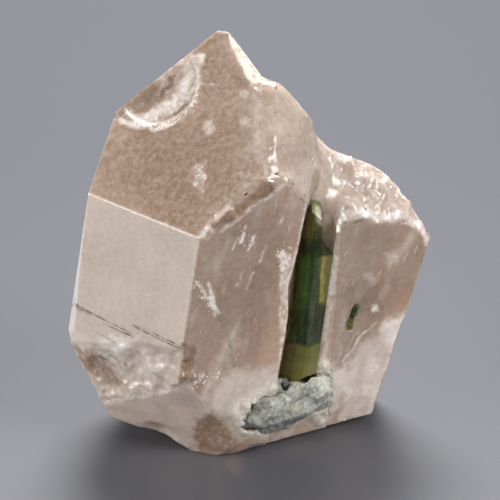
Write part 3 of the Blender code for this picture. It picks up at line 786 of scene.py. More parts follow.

# Marks in the photo: a shape, its place, its size and the amounts that it draws the surface towards. A spot
# has a centre and a radius, a stroke has a path and a width, and a patch has an outline and a soft edge.
# Some marks paint light: glint amounts and a few white strokes and patches are painted glints and highlights,
# and a few brown lines are painted shade.
MARKS = (
    # The clear quartz round the tourmaline.
    (patch, GLASSY, 6.0, dict(milk_and_highlight=0.12, frost=0.02, smoke_and_shade=0.10, crazed=0.35)),
    # The crescent scar: its hollow, its bright bends with painted glints in them, and painted shade along the
    # steps between them and in the notch.
    (patch, SCAR, 5.0, dict(frost=0.35)),
    (patch, SCAR, 8.0, dict(milk_and_highlight=0.30)),
    (patch, SCAR_HOLLOW, 6.0, dict(smoke_and_shade=0.70, milk_and_highlight=0.10)),
    (stroke, ((134, 124), (152, 116), (168, 106), (180, 94), (188, 80), (194, 66), (200, 58)),
     10.0, dict(milk_and_highlight=0.80)),
    (stroke, SCAR_BEND, 9.0, dict(painted_glint=0.80)),
    (stroke, SCAR_BEND, 16.0, dict(crazed=0.85)),
    (patch, [(176, 64), (190, 52), (204, 60), (200, 72), (182, 74)], 5.0, dict(milk_and_highlight=0.55)),
    (stroke, ((122, 121), (136, 126), (154, 129), (170, 125)), 5.0, dict(milk_and_highlight=0.75)),
    (stroke, ((120, 121), (136, 126), (154, 129), (172, 124), (186, 114), (195, 103), (197, 92)),
     6.0, dict(painted_glint=0.95)),
    (stroke, ((128, 111), (139, 121), (162, 119), (184, 103), (196, 87), (198, 69)), 5.0, dict(milk_and_highlight=0.85)),
    # Painted shade along the scar's steps and in its notch.
    (stroke, SCAR_SHADE, 4.0, dict(smoke_and_shade=0.80)),
    (stroke, SCAR_SHADE, 3.5, dict(milk_and_highlight=0.10)),
    (stroke, SCAR_NOTCH, 6.0, dict(smoke_and_shade=1.0)),
    (stroke, SCAR_NOTCH, 5.0, dict(milk_and_highlight=0.05)),
    # The upper left face: its paler right side, the grey cloud, the tip's stain, and flecks.
    (patch, [(226, 42), (240, 50), (264, 86), (262, 170), (246, 160), (252, 100), (238, 66)],
     12.0, dict(milk_and_highlight=0.28)),
    (patch, GREY_PATCH, 10.0, dict(milk_and_highlight=0.08, frost=0.7, crazed=1.0, painted_glint=0.40, smoke_and_shade=0.95)),
    (stroke, CREST_LINE, 13.0, dict(milk_and_highlight=0.25)),
    (patch, [(150, 140), (226, 118), (240, 150), (232, 196), (196, 226), (112, 186)],
     50.0, dict(smoke_and_shade=0.95)),
    (stroke, CREST_LINE, 16.0, dict(crazed=0.9)),
    (patch, TIP_STAIN, 3.0, dict(cream=0.8, milk_and_highlight=0.9)),
    (stroke, ((195, 84), (218, 84)), 1.6, dict(milk_and_highlight=0.7)),
    (patch, WHITE_FLECK, 6.0, dict(milk_and_highlight=0.45, painted_glint=0.9)),
    (spot, (245, 95), 5.0, dict(milk_and_highlight=0.45, painted_glint=0.6)),
    (spot, (245, 122), 6.0, dict(milk_and_highlight=0.40)),
    (spot, (208, 127), 7.0, dict(milk_and_highlight=0.50, painted_glint=0.6)),
    (spot, (121, 156), 4.0, dict(painted_glint=0.6)),
    # The ridge from the lower left face up to the crest, and painted shade under the crest.
    (patch, [(199, 236), (205, 226), (215, 217), (226, 205), (230, 210), (220, 224), (206, 242)],
     4.0, dict(milk_and_highlight=0.7)),
    (patch, [(199, 236), (203, 222), (215, 212), (222, 218), (212, 230), (206, 242)],
     4.0, dict(painted_glint=0.8)),
    # Painted shade under the crest.
    (stroke, CREST_SHADE, 10.0, dict(smoke_and_shade=1.0)),
    (stroke, CREST_SHADE, 8.0, dict(milk_and_highlight=0.04, crazed=0.2)),
    (stroke, ((222, 232), (244, 214), (268, 197), (282, 184)), 4.0, dict(milk_and_highlight=0.65)),
    (spot, (285, 176), 7.0, dict(cream=0.5)),
    # Growth lines across the lower left face.
    (stroke, ((72, 304), (102, 318), (132, 337)), 5.0, dict(dark=1.0)),
    (stroke, ((136, 328), (160, 339), (185, 352)), 6.0, dict(dark=1.0)),
    (stroke, ((68, 342), (92, 355), (118, 371)), 5.0, dict(dark=1.0)),
    (stroke, ((94, 347), (112, 358), (126, 366)), 4.0, dict(dark=0.9)),
    (stroke, ((102, 335), (115, 343)), 3.0, dict(dark=0.9)),
    # The broken ground under the lower left face.
    (patch, [(66, 332), (182, 346), (172, 370), (120, 362), (78, 352)], 8.0, dict(milk_and_highlight=0.62)),
    (patch, [(74, 346), (96, 352), (112, 372), (128, 384), (104, 384), (86, 374)], 6.0, dict(milk_and_highlight=0.15)),
    (patch, [(90, 350), (112, 358), (128, 384), (104, 384), (88, 370)], 8.0, dict(smoke_and_shade=0.65)),
    (patch, [(136, 366), (148, 357), (162, 354), (164, 366), (148, 378), (136, 378)], 6.0, dict(milk_and_highlight=0.85)),
    (patch, [(98, 336), (138, 336), (134, 352), (104, 358)], 8.0, dict(milk_and_highlight=0.85)),
    (patch, [(168, 352), (180, 346), (178, 384), (170, 386)], 4.0, dict(milk_and_highlight=0.55)),
    (patch, FOOT_CORNER, 5.0, dict(smoke_and_shade=0.8)),
    (patch, FOOT_CORNER, 4.0, dict(milk_and_highlight=0.04)),
    (patch, [(176, 384), (190, 376), (222, 370), (222, 382), (190, 392)], 6.0, dict(painted_glint=0.9)),
    (patch, [(122, 388), (140, 380), (152, 384), (150, 396), (124, 402)], 6.0, dict(painted_glint=0.8)),
    (spot, (93, 374), 5.0, dict(painted_glint=0.8)),
    (spot, (104, 392), 3.0, dict(green=0.8)),
    # The front face: the feathery crack with green along it, and short white strokes that are painted glints.
    (stroke, ((211, 298), (214, 306), (217, 314)), 6.0, dict(milk_and_highlight=1.0)),
    (stroke, ((198, 283), (205, 293), (212, 304)), 4.0, dict(milk_and_highlight=0.95)),
    (stroke, ((209, 281), (211, 292), (214, 304)), 3.0, dict(milk_and_highlight=0.95)),
    (stroke, ((196, 284), (206, 300), (216, 314)), 10.0, dict(painted_glint=0.9)),
    (stroke, ((216, 312), (225, 328), (231, 350), (233, 368)), 3.6, dict(green=1.0)),
    (patch, [(198, 282), (212, 280), (240, 350), (236, 372), (222, 340)], 8.0, dict(crazed=0.9)),
    # Short white strokes: painted glints.
    (stroke, ((240, 243), (246, 226)), 2.6, dict(milk_and_highlight=1.0)),
    (stroke, ((249, 250), (256, 234)), 2.6, dict(milk_and_highlight=1.0)),
    (stroke, ((232, 250), (238, 238)), 2.0, dict(milk_and_highlight=0.8)),
    (stroke, ((259, 262), (266, 246)), 2.0, dict(milk_and_highlight=0.8)),
    (stroke, ((246, 290), (254, 272)), 2.4, dict(milk_and_highlight=0.7)),
    (stroke, ((238, 286), (243, 270)), 2.0, dict(milk_and_highlight=0.7)),
    (patch, [(236, 222), (248, 226), (258, 236), (250, 254), (238, 244)], 8.0, dict(painted_glint=0.55)),
    (stroke, ((270, 240), (276, 230), (284, 222), (289, 208)), 4.0, dict(green=0.45)),
    # The rim of the tourmaline's mould, and the pane beside the notch.
    (patch, [(280, 268), (289, 262), (288, 330), (284, 372), (279, 376)], 3.0, dict(milk_and_highlight=0.75)),
    (stroke, ((278.5, 268), (278.0, 312)), 2.4, dict(green=0.9)),
    (stroke, ((307, 204), (301, 229), (296, 253), (290, 277), (287, 288), (287, 315), (280, 360)),
     2.4, dict(milk_and_highlight=0.8)),
    (stroke, ((336, 258), (333, 276), (327, 322), (324, 366)), 6.0, dict(milk_and_highlight=0.55)),
    (patch, NOTCH_PANE, 3.0, dict(milk_and_highlight=0.60, green=0.45, smoke_and_shade=0.0)),
    (patch, [(278, 253), (284, 250), (292, 256), (290, 268), (281, 270)], 5.0, dict(milk_and_highlight=1.0)),
    (patch, [(276, 250), (292, 248), (294, 264), (286, 276), (278, 270)], 5.0, dict(painted_glint=1.0)),
    (stroke, ((334, 222), (334, 256)), 2.0, dict(milk_and_highlight=0.55)),
    (patch, [(330, 221), (340, 224), (338, 242), (331, 240)], 5.0, dict(green=0.3)),
    (stroke, ((327, 330), (330, 344), (331, 358)), 4.0, dict(green=0.6)),
    # The right-hand crystal: flecks, its brown band and its broken side.
    (patch, SIDE_FLECK, 7.0, dict(milk_and_highlight=0.55, painted_glint=0.6)),
    (patch, [(364, 277), (374, 272), (378, 280), (368, 286)], 7.0, dict(milk_and_highlight=0.5)),
    (spot, (374, 308), 5.0, dict(milk_and_highlight=0.95)),
    (patch, [(344, 286), (380, 280), (424, 282), (418, 304), (384, 312), (346, 318)], 14.0, dict(smoke_and_shade=0.9)),
    (stroke, ((342, 362), (352, 350), (362, 334), (376, 322)), 2.0, dict(milk_and_highlight=0.9)),
    (patch, SIDE_BREAK, 12.0, dict(milk_and_highlight=0.72, crazed=0.35, painted_glint=0.35)),
    (patch, [(384, 322), (408, 312), (404, 345), (392, 352), (382, 340)], 10.0, dict(milk_and_highlight=0.95)),
    (patch, [(346, 384), (360, 378), (366, 396), (350, 402)], 7.0, dict(smoke_and_shade=0.8)),
    (patch, [(330, 372), (345, 366), (350, 384), (338, 396), (330, 388)], 10.0, dict(milk_and_highlight=0.8)),
    (patch, [(372, 362), (380, 354), (378, 372), (370, 376)], 4.0, dict(milk_and_highlight=0.9)),
    # A white patch on the right edge: a painted highlight.
    (patch, [(422, 232), (430, 228), (430, 244), (425, 246)], 4.0, dict(milk_and_highlight=1.0)),
    # The rounded ground on the upper right, and the crust on the shoulder.
    (patch, UPPER_RIGHT, 8.0, dict(milk_and_highlight=0.37, smoke_and_shade=0.44, frost=0.30, crazed=0.45)),
    (patch, LIT_CHEEK, 16.0, dict(milk_and_highlight=0.26, smoke_and_shade=0.62)),
    # A faint cream tint on the shoulder: a painted highlight.
    (patch, [(276, 96), (296, 100), (306, 130), (292, 150), (274, 136)], 16.0, dict(cream=0.20)),
    (patch, [(318, 160), (330, 170), (336, 196), (324, 194)], 10.0, dict(smoke_and_shade=0.60, milk_and_highlight=0.35)),
    (patch, CRUST, 6.0, dict(milk_and_highlight=0.50, frost=0.25, crazed=1.0, painted_glint=0.4)),
    (stroke, CRUST_FOOT, 8.0, dict(milk_and_highlight=0.85, painted_glint=0.85)),
    # The foot: a brown window, bright edges, and the haze round the matrix patch.
    (patch, FOOT_WINDOW, 8.0, dict(smoke_and_shade=0.8, milk_and_highlight=0.08, crazed=0.2)),
    (stroke, ((158, 428), (178, 438), (196, 446)), 8.0, dict(milk_and_highlight=0.65)),
    (stroke, FOOT_EDGE, 3.0, dict(milk_and_highlight=0.75)),
    (stroke, FOOT_EDGE, 6.0, dict(painted_glint=0.85)),
    (patch, [(228, 372), (276, 366), (278, 392), (250, 424), (240, 440), (206, 400)], 16.0, dict(milk_and_highlight=0.7)),
    (stroke, MATRIX_RIM, 18.0, dict(milk_and_highlight=0.75)),
    (stroke, MATRIX_RIM, 15.0, dict(green=0.60, frost=0.6)),
    (stroke, MATRIX_RIM, 12.0, dict(painted_glint=0.6)),
    (patch, [(226, 402), (262, 386), (276, 388), (258, 402), (238, 438), (224, 430)],
     12.0, dict(green=0.55)),
    (patch, [(252, 388), (276, 384), (270, 398), (240, 416), (238, 436), (226, 430), (232, 404)],
     10.0, dict(green=0.25)),
)

# How many times the ground inside an outline is smoothed, and only where it is higher than this, in mm.
SMOOTHED_GROUND = ((CREST, 80, 0.0), (SADDLE, 120, 40.0), (VALLEY, 200, 40.0))
UPPER_GROUND = 40.0
# Shelly ground: its outline and soft edge, whether its chips are drawn out along the cracks, and the depth,
# width and noise seed of each size of chip.
BROKEN_GROUND = (
    (CRUST, 5.0, True, ((1.8, 3.0, 50), (0.5, 1.1, 54))),
    (GREY_PATCH, 8.0, False, ((0.35, 1.6, 63),)),
    (CRUSHED_FOOT, 6.0, False, ((1.3, 3.6, 66), (0.3, 1.3, 67))),
    (SIDE_BREAK, 8.0, True, ((1.5, 4.0, 70), (0.3, 1.5, 71))),
)
# The rim round the matrix patch is raised by this much in mm, out to this many pixels from it, below this
# height.
RIM_RISE = 0.75
RIM_REACH = 13.0
RIM_TOP = 24.0
# How near the tourmaline's outline a point is moved onto it, in pixels, and the pixels in a mm at the front.
SNAP = 1.1
PHOTO_SCALE = 5.1
# The triangles' size in mm: where the photo's camera sees them, and behind.
SEEN_PITCH, HIDDEN_PITCH = ((0.36, 0.8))


def same_face(flats, bearing, slope):
    """True for the flat faces that look the way of a named one."""
    return flats @ face_normal(bearing, slope) > 0.9995


def facing_camera(points, normals):
    """The cosine between each normal and the line to the photo's camera."""
    to_camera = CAMERA_TARGET + camera_axes()[2] * CAMERA_DISTANCE - points
    return (normals * to_camera).sum(axis=-1) / np.linalg.norm(to_camera, axis=-1)


def quartz_pitch(middle, normal):
    """Fine triangles on what the photo's camera sees, and coarser ones behind."""
    return SEEN_PITCH if facing_camera(middle, normal) > 0.03 else HIDDEN_PITCH


def streaked(points, line, stretch):
    """Places drawn in along a line, so that noise read there comes out this many times longer that way."""
    along = points @ line
    return points + np.outer(along * (1.0 / stretch - 1.0), line)


def lift(surface, normals, height, mask):
    """Moves points along their normals by a height in mm, where the mask is."""
    surface.points += normals * (height * mask)[:, None]


def face_amounts(surface, flats):
    """What each point starts from: the mean state of the faces that its triangles belong to, and no stains."""
    values = np.tile(np.array(PLAIN_FACE), (len(flats) + 1, 1))
    for bearing, slope, state in FACE_STATES.values():
        values[:-1][same_face(flats, bearing, slope)] = state
    values[-1] = BROKEN_STATE
    size = len(surface.points)
    count = np.maximum(np.bincount(surface.triangles.ravel(), minlength=size), 1)
    amounts = {name: np.zeros(size) for name in STATE_NAMES + STAIN_NAMES}
    for index, name in enumerate(STATE_NAMES):
        for side in range(3):
            amounts[name] += np.bincount(surface.triangles[:, side], values[surface.flat_of, index], size)
        amounts[name] /= count
    return amounts


def paint(surface, flats, seen, front, behind):
    """How frosted, milky, smoky and cracked each point is, how far painted glints show there, and its green,
    cream and dark stains. A few milky marks are painted glints and highlights, and a few smoky ones are painted
    shade.

    Veils are noise drawn out along the cracks. The marks' edges are shifted and frayed by finer noise, the less
    so the softer a mark is.
    """
    amounts = face_amounts(surface, flats)
    points = surface.points
    veil = ease(rough(streaked(points, CRACK_LINE, 2.6), 3.2, 4, 3), 0.0, 0.7)
    amounts["milk_and_highlight"] += (0.8 - amounts["milk_and_highlight"]) * veil * 0.50 * ease(amounts["crazed"], 0.2, 0.6)
    amounts["crazed"] *= 1.0 + 0.9 * rough(points, 5.0, 3, 5)
    amounts["painted_glint"] *= 1.0 + 0.9 * rough(points, 3.5, 3, 6)
    amounts["smoke_and_shade"] += 0.35 * rough(points, 7.0, 3, 17)
    shift = wander(points, 1.4, 21, 5.0)
    fray = ease(rough(points, 0.7, 3, 23), -0.7, 0.35)

    def covered(shape, place, size):
        kept = 1.0 - (1.0 - fray) * min(1.0, 4.0 / size)
        return shape(seen + shift * min(1.0, size / 6.0), place, size) * front * kept

    lay_marks(amounts, MARKS, covered)
    amounts = {name: np.clip(value, 0.0, 1.0) for name, value in amounts.items()}
    amounts["frost"] += (BACK_FROST - amounts["frost"]) * behind
    return amounts


def break_ground(surface, normals, points, seen, front, uneven, free):
    """Raises the uneven ground on the upper right, shelly chips, the scar's ripples and the matrix's rim."""
    lift(surface, normals, 0.45 * rough(points, 6.0, 3, 40) + 0.15 * rough(points, 1.6, 3, 44), uneven * free)
    lift(surface, normals, 0.25 * rough(points, 2.5, 3, 61), patch(seen, SCAR, 5.0) * front * free)
    shards = streaked(points, CRACK_LINE, 3.0)
    for outline, soft, drawn, chip_sizes in BROKEN_GROUND:
        place = shards if drawn else points
        height = sum(depth * chipped(place, width, seed) for depth, width, seed in chip_sizes)
        lift(surface, normals, height, patch(seen, outline, soft) * front * free)
    around = (1.0 - ease(gap_to_path(seen, MATRIX_RIM), 1.0, RIM_REACH)) * front * (points[:, 2] < RIM_TOP)
    lift(surface, normals, RIM_RISE + 0.9 * rough(points, 2.0, 4, 75), around * free)


def uncover(surface, facing):
    """Draws the quartz that hides the tourmaline straight back from the camera, to the depth of its axis.

    Points near the rim of the window that this opens are first moved sideways onto it, so that it is clean.
    """
    right, up, back = camera_axes()
    seen = photo_place(surface.points)
    rim, gap = nearest_on_path(seen, TOURMALINE_SEEN + TOURMALINE_SEEN[:1])
    axis = lean_matrix(TOURMALINE_LEAN)[:, 2]
    along = (surface.points - TOURMALINE_PLACE)[:, 2] / axis[2]
    depth = (TOURMALINE_PLACE + along[:, None] * axis - surface.points) @ -back + 0.5
    near = (gap < SNAP) & (facing > -0.2) & (depth > 0.0)
    across = (rim - seen) / PHOTO_SCALE
    surface.points[near] += across[near, :1] * right - across[near, 1:] * up
    hiding = inside(seen, TOURMALINE_SEEN) & ~near & (depth > 0.0) & (facing > -0.6)
    surface.points[hiding] -= depth[hiding, None] * back


def edge_gaps(points, edge):
    """How far each point is from the nearest edge point, in mm."""
    tree = kdtree.KDTree(int(edge.sum()))
    for index, place in enumerate(points[edge]):
        tree.insert(place, index)
    tree.balance()
    return np.array([tree.find(place)[2] for place in points])


def make_quartz():
    """A fine copy of the CAD solid, smoothed where it is worn and broken where the photo shows broken ground.

    It is opened in front of the tourmaline, and chipped along its edges.
    """
    surface, flats = refined("quartz", 12.0, quartz_pitch)
    own, any_flat = surface.point_flats()
    resting = surface.points[:, 2] < 0.02
    surface.smooth((any_flat < 0) & ~resting, 5)
    facing = facing_camera(surface.points, surface.normals())
    front = ease(facing, 0.0, 0.12)
    seen = photo_place(surface.points)
    uneven = patch(seen, UPPER_RIGHT, 6.0) * (surface.points[:, 2] > UPPER_GROUND)
    surface.smooth(uneven > 0.5, 60)
    for outline, rounds, lowest in SMOOTHED_GROUND:
        surface.smooth((patch(seen, outline, 4.0) > 0.5) & (surface.points[:, 2] > lowest), rounds)
    normals = surface.normals()
    free = (~resting).astype(float)
    points = surface.points.copy()
    break_ground(surface, normals, points, seen, front, uneven, free)
    for _ in range(5):
        surface.smooth(surface.folded() & ~resting, 6)
    uncover(surface, facing)
    edge_gap = edge_gaps(points, (own < 0) & (any_flat >= 0))
    chips = ease(rough(points, 1.8, 3, 80), 0.30, 0.8) * (1.0 - ease(edge_gap, 0.0, 0.8))
    lift(surface, normals, -0.05 * chips - 0.05 * (1.0 - ease(edge_gap, 0.0, 0.4)), free)
    lift(surface, normals, 0.05 * rough(points, 7.0, 2, 85), free)
    surface.points[:, 2] = np.where(resting, 0.0, np.maximum(surface.points[:, 2], 0.03))
    state = paint(surface, flats, seen, front, (1.0 - front) * ease(normals[:, 2], 0.2, 0.6))
    state["milk_and_highlight"] += (1.0 - state["milk_and_highlight"]) * 0.22 * chips
    piece = add_mesh("quartz_body", surface.points, surface.triangles, quartz_material())
    add_colours(piece, "state", state["frost"], state["milk_and_highlight"], state["smoke_and_shade"], state["crazed"])
    # The first three numbers here are the green, cream and dark stains, and the fourth is the painted glints.
    add_colours(piece, "stain_and_glint", state["green"], state["cream"], state["dark"], state["painted_glint"])
    weld(piece, 30.0, 0.06)
    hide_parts("quartz")
    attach(piece, "root")


# The tourmaline, in mm round its own axis with the front at -y, as in the CAD source

TOURMALINE_OUTLINE = (
    (-3.65, 0.2), (-1.39, -3.3), (0.73, -3.9), (1.68, -3.6), (3.65, -0.5), (2.9, 2.8), (0.2, 3.9),
    (-2.7, 3.2),
)
TOURMALINE_LEAN = 6.9
TOURMALINE_PLACE = np.array((11.5, -7.2, 31.0))
TOURMALINE_STEP = 0.13
LEDGE = 10.38
TOURMALINE_ROWS = np.concatenate((np.linspace(-18.6, LEDGE - 0.02, 90), np.linspace(LEDGE + 0.02, 20.0, 34)))
# The planes that end the prism, each by a point and a normal: two broken ones at the foot, and the end face.
FOOT_PLANES = (((-3.0, -2.0, -16.6), (0.2, 0.5, 0.84)), ((2.0, -2.0, -15.4), (-0.5, 0.4, 0.77)))
TOP_PLANE = ((0.4, -2.5, 18.3), (0.42, -0.1, 0.9))
# The notch's wall above the ledge bends at this height. Below and above it, the wall's place and its slope.
NOTCH_BEND = 12.51
NOTCH_LOW = (2.52, -0.71)
NOTCH_HIGH = (1.0, -0.121)

# Colour zones in the photo, in pixels, written as the quartz's marks are, with a painted highlight and a
# painted reflection among them.
TOURMALINE_MARKS = (
    (patch, [(300, 200), (325, 200), (325, 236), (312, 240), (298, 236)], 10.0, dict(olive=0.85)),
    # A painted highlight on the top's right.
    (patch, [(315, 205), (322, 209), (322, 226), (317, 222)], 3.0, dict(pale=0.8)),
    (patch, [(311, 232), (322, 228), (326, 256), (316, 258)], 5.0, dict(black=0.7)),
    (patch, [(298, 258), (309, 256), (308, 296), (297, 300)], 9.0, dict(bright=1.0)),
    (patch, [(292, 300), (308, 298), (305, 338), (288, 340)], 10.0, dict(bright=0.45)),
    (stroke, ((294, 272), (291, 300), (287, 340)), 3.0, dict(gold=0.7)),
    # A painted reflection of light down one facet.
    (stroke, ((317, 262), (314, 290), (309, 342)), 5.5, dict(grey=0.75)),
    (patch, [(320, 256), (334, 256), (331, 290), (327, 304), (318, 304)], 5.0, dict(olive=0.7)),
    (stroke, ((324, 258), (321, 300)), 4.0, dict(gold=1.0)),
    (patch, [(286, 314), (306, 310), (326, 308), (325, 338), (318, 343), (307, 346), (296, 342)],
     9.0, dict(black=0.85)),
    (patch, [(280, 344), (296, 342), (307, 346), (318, 343), (330, 345), (330, 385), (270, 385)],
     3.0, dict(olive=0.8)),
    (stroke, ((286, 343), (296, 342), (307, 346), (320, 343)), 2.2, dict(black=0.8)),
    (patch, [(278, 366), (300, 362), (322, 362), (322, 385), (276, 385)], 8.0, dict(gold=0.2)),
)


def tourmaline_profile():
    """Points along the outline's straight sides, with the outward normal and the distance run at each."""
    places, outs, runs = [], [], []
    run = 0.0
    for start, end in zip(TOURMALINE_OUTLINE, TOURMALINE_OUTLINE[1:] + TOURMALINE_OUTLINE[:1]):
        start, end = np.array(start), np.array(end)
        length = np.linalg.norm(end - start)
        steps = max(2, round(length / TOURMALINE_STEP))
        share = np.arange(steps)[:, None] / steps
        places.append(start + share * (end - start))
        outs.append(np.tile(((end - start)[1] / length, -(end - start)[0] / length), (len(share), 1)))
        runs.append(run + share[:, 0] * length)
        run += length
    return np.concatenate(places), np.concatenate(outs), np.concatenate(runs)


def plane_height(x, y, plane):
    """How high along the axis a plane is, at a place across it."""
    (point_x, point_y, height), (normal_x, normal_y, normal_v) = plane
    return height - (normal_x * (x - point_x) + normal_y * (y - point_y)) / normal_v


def tube_faces(rows, across):
    """The quads between neighbouring rows of a tube's points, which are numbered row by row."""
    number = np.arange(rows * across).reshape(rows, across)
    beside = np.roll(number, -1, axis=1)
    return np.stack((number[:-1], beside[:-1], beside[1:], number[1:]), axis=-1).reshape(-1, 4)


def make_tourmaline():
    """The outline carried up the axis. Each point sinks by grooves that run lengthwise: noise of the distance
    round the outline, drawn out twenty times along the axis. Heights stop at the end faces, and above the
    ledge the right-hand side stops at the notch's wall."""
    place, out, run = tourmaline_profile()
    across, rows = len(place), len(TOURMALINE_ROWS)
    x = np.tile(place[:, 0], (rows, 1))
    y = np.tile(place[:, 1], (rows, 1))
    v = np.tile(TOURMALINE_ROWS[:, None], (1, across))
    sample = np.stack((np.tile(run, (rows, 1)), np.zeros_like(x), v / 20.0), axis=-1).reshape(-1, 3)
    depth = 0.10 * ease(rough(sample, 0.9, 3, 90), -0.1, 0.8)
    depth = (depth + 0.05 * ease(rough(sample, 0.3, 2, 93), 0.0, 0.8)).reshape(rows, across)
    x -= out[:, 0] * depth
    y -= out[:, 1] * depth
    flat = np.stack((x, y, v * 0.0), axis=-1).reshape(-1, 3)
    uneven = 0.35 * rough(flat, 1.2, 3, 95).reshape(rows, across)
    foot = np.maximum(*(plane_height(x, y, plane) for plane in FOOT_PLANES)) + uneven
    top = plane_height(x, y, TOP_PLANE) + 0.3 * np.minimum(uneven, 0.0)
    v = np.clip(v, foot, top)
    low_wall = NOTCH_LOW[0] + NOTCH_LOW[1] * (v - LEDGE)
    high_wall = NOTCH_HIGH[0] + NOTCH_HIGH[1] * (v - NOTCH_BEND)
    wall = np.where(v < NOTCH_BEND, low_wall, high_wall) + 0.3 * uneven
    x = np.where(v > LEDGE, np.minimum(x, wall), x)
    x = np.maximum(x, -3.2 + (0.22 * (v - 14.6) - 0.1 * y) / 0.97)
    body = np.stack((x, y, v), axis=-1)
    caps = []
    for rim in (body[0], body[-1]):
        middle = rim.mean(axis=0)
        caps.append(np.array([middle + (rim - middle) * share for share in (0.0, 0.33, 0.66)]))
    grid = np.concatenate((caps[0], body, caps[1][::-1]))
    points = grid.reshape(-1, 3) @ lean_matrix(TOURMALINE_LEAN).T + TOURMALINE_PLACE
    seen = photo_place(points) + wander(points, 1.0, 96, 2.0)
    zones = {name: np.zeros(len(points)) for name in ("bright", "olive", "black", "gold", "grey", "pale")}
    lay_marks(zones, TOURMALINE_MARKS, lambda shape, place, size: shape(seen, place, size))
    faces = tube_faces(*grid.shape[:2])
    piece = add_mesh("tourmaline_prism", points, faces, tourmaline_material(), None, 0.0)
    add_colours(piece, "zones", zones["bright"], zones["olive"], zones["black"])
    add_colours(piece, "streaks", zones["gold"], zones["grey"], zones["pale"])
    weld(piece, 24.0)
    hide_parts("green_tourmaline")
    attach(piece, "root")


# The matrix

MATRIX_MARKS = (
    # A sunken pit, coloured dark: painted shade in it.
    (spot, (285, 385), 4.5, dict(dark=1.0)),
    (patch, [(284, 372), (296, 364), (312, 366), (318, 376), (296, 384)], 6.0, dict(yellow=0.6)),
    (spot, (295, 407), 6.0, dict(yellow=0.25)),
    (patch, [(312, 366), (330, 366), (330, 390), (318, 392)], 8.0, dict(white=0.4)),
    (patch, [(235, 412), (256, 398), (272, 408), (262, 424), (246, 432)], 10.0, dict(dark=0.25)),
)
MATRIX_PITCH = 0.33


def make_matrix():
    """A fine copy of the CAD lump, smoothed, then raised into lumps and small shelly grains."""
    surface, _ = refined("mica_matrix", 1e9, lambda middle, normal: MATRIX_PITCH)
    everywhere = np.ones(len(surface.points))
    surface.smooth(everywhere > 0.0, 5)
    normals = surface.normals()
    points = surface.points.copy()
    lift(surface, normals, 0.55 * rough(points, 3.2, 5, 100) + 0.25 * chipped(points, 1.0, 101), everywhere)
    seen = photo_place(points) + wander(points, 0.8, 104, 2.5)
    marks = {name: np.zeros(len(points)) for name in ("dark", "yellow", "white")}
    lay_marks(marks, MATRIX_MARKS, lambda shape, place, size: shape(seen, place, size))
    lift(surface, normals, -1.2 * marks["dark"], everywhere)
    flat_shaded = np.zeros(len(surface.triangles), dtype=bool)
    piece = add_mesh("mica_lump", surface.points, surface.triangles, mica_material(), flat_shaded)
    add_colours(piece, "grain", marks["dark"], marks["yellow"], marks["white"])
    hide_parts("mica_matrix")
    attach(piece, "root")


# The needle

NEEDLE_ENDS = (np.array((20.15, -2.75, 22.7)), np.array((21.47, -2.62, 28.4)))
NEEDLE_RADIUS = 0.78
NEEDLE_ROWS = 60
NEEDLE_SIDES = 36
# The needle turns from olive to grey green between these heights.
NEEDLE_OLIVE, NEEDLE_GREY = 24.0, 25.6


def make_needle():
    """A six-sided rod between its two ends. Its radius and its line wander with noise of the place along it,
    and fall to nothing at the ends."""
    along = np.linspace(0.0, 1.0, NEEDLE_ROWS)[:, None]
    turn = np.linspace(0.0, 2.0 * math.pi, NEEDLE_SIDES, endpoint=False)[None, :]
    hexagon = 1.0 / np.cos((turn + 0.3) % (math.pi / 3.0) - math.pi / 6.0) * math.cos(math.pi / 6.0)
    line = np.stack(np.broadcast_arrays(along * 6.0, np.cos(turn), np.sin(turn)), axis=-1)
    bulge = rough(line.reshape(-1, 3), 0.9, 4, 110).reshape(NEEDLE_ROWS, NEEDLE_SIDES)
    size = NEEDLE_RADIUS * (0.9 + 0.9 * bulge)
    size = size * hexagon * np.sqrt(np.clip(1.0 - (2.0 * along - 1.0) ** 6, 0.0, 1.0))
    start, end = NEEDLE_ENDS
    axis = (end - start) / np.linalg.norm(end - start)
    aside = np.cross(axis, (0.0, 1.0, 0.0))
    other = np.cross(axis, aside)
    bend = 0.30 * np.round(3.0 * np.sin(along * 4.0)) / 3.0
    points = start + along[..., None] * (end - start) + (size * np.cos(turn) + bend)[..., None] * aside
    points = (points + (size * np.sin(turn))[..., None] * other).reshape(-1, 3)
    faces = tube_faces(NEEDLE_ROWS, NEEDLE_SIDES)
    piece = add_mesh("tourmaline_splinter", points, faces, tourmaline_material(), None, 0.0)
    low = ease(-points[:, 2], -NEEDLE_GREY, -NEEDLE_OLIVE)
    add_colours(piece, "zones", 0.0 * low, 0.35 + 0.5 * low, 0.0 * low)
    add_colours(piece, "streaks", 0.4 * low, 0.5 * (1.0 - low), 0.0 * low)
    weld(piece, 35.0)
    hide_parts("tourmaline_needle")
    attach(piece, "root")


make_quartz()
make_tourmaline()
make_matrix()
make_needle()


# Floor, lights and camera, in metres

FLOOR_RADIUS = 3.0
# The floor lies this far under the specimen, so that the two don't touch.
FLOOR_GAP = 0.00002
FLOOR_SIDES = 96
# Each light's place, what it is aimed at, its size and its power in watts.
LIGHTS = {
    "overhead": ((0.0, 0.60, 0.70), (0.0, 0.05, 0.03), (0.5, 0.35), 19.0),
    "left_box": ((-0.7, -0.35, 0.28), (0.0, 0.0, 0.04), (0.5, 0.5), 5.2),
    "right_box": ((0.6, -0.4, 0.5), (0.0, 0.0, 0.04), (0.4, 0.4), 7.5),
}
ROOM_COLOUR = "#C9CAD0"
ROOM_STRENGTH = 0.45


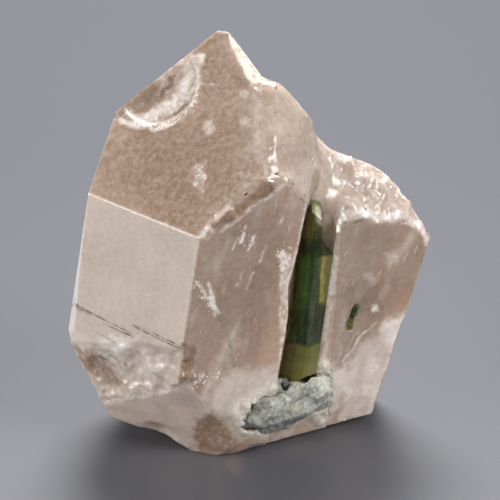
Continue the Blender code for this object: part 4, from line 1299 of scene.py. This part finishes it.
def add_floor():
    """A wide plain floor, which fills the whole view from above."""
    mesh = bpy.data.meshes.new("floor")
    turns = np.linspace(0.0, 2.0 * math.pi, FLOOR_SIDES, endpoint=False)
    height = np.full(FLOOR_SIDES, -FLOOR_GAP)
    rim = np.stack((FLOOR_RADIUS * np.cos(turns), FLOOR_RADIUS * np.sin(turns), height), axis=-1)
    mesh.from_pydata(rim.tolist(), [], [list(range(FLOOR_SIDES))])
    mesh.materials.append(floor_material())
    made = bpy.data.objects.new("floor", mesh)
    bpy.context.scene.collection.objects.link(made)


def add_light(name, place, target, size, power):
    """A soft white rectangular light, aimed at a point."""
    data = bpy.data.lights.new(name, "AREA")
    data.shape = "RECTANGLE"
    data.size, data.size_y = size
    data.energy = power
    made = bpy.data.objects.new(name, data)
    made.location = place
    made.rotation_mode = "QUATERNION"
    made.rotation_quaternion = (Vector(target) - Vector(place)).to_track_quat("-Z", "Y")
    bpy.context.scene.collection.objects.link(made)


def add_camera():
    """The photo's camera."""
    data = bpy.data.cameras.new("photo_camera")
    data.lens, data.sensor_width = CAMERA_LENS, CAMERA_SENSOR
    data.clip_start, data.clip_end = 0.01, 20.0
    made = bpy.data.objects.new("photo_camera", data)
    back = camera_axes()[2]
    made.location = (CAMERA_TARGET + back * CAMERA_DISTANCE) * MM
    made.rotation_mode = "QUATERNION"
    made.rotation_quaternion = Vector(-back).to_track_quat("-Z", "Y")
    bpy.context.scene.collection.objects.link(made)
    bpy.context.scene.camera = made


def add_world():
    """Even light from all round, as in a pale room."""
    world = bpy.data.worlds.new("studio")
    world.use_nodes = True
    background = world.node_tree.nodes["Background"]
    background.inputs["Color"].default_value = linear(ROOM_COLOUR)
    background.inputs["Strength"].default_value = ROOM_STRENGTH
    bpy.context.scene.world = world


add_floor()
for light_name, light in LIGHTS.items():
    add_light(light_name, *light)
add_world()
add_camera()
bpy.context.scene.view_settings.view_transform = "Standard"


def corners(box):
    """A box's two corners as plain numbers."""
    return [[float(number) for number in corner] for corner in box]
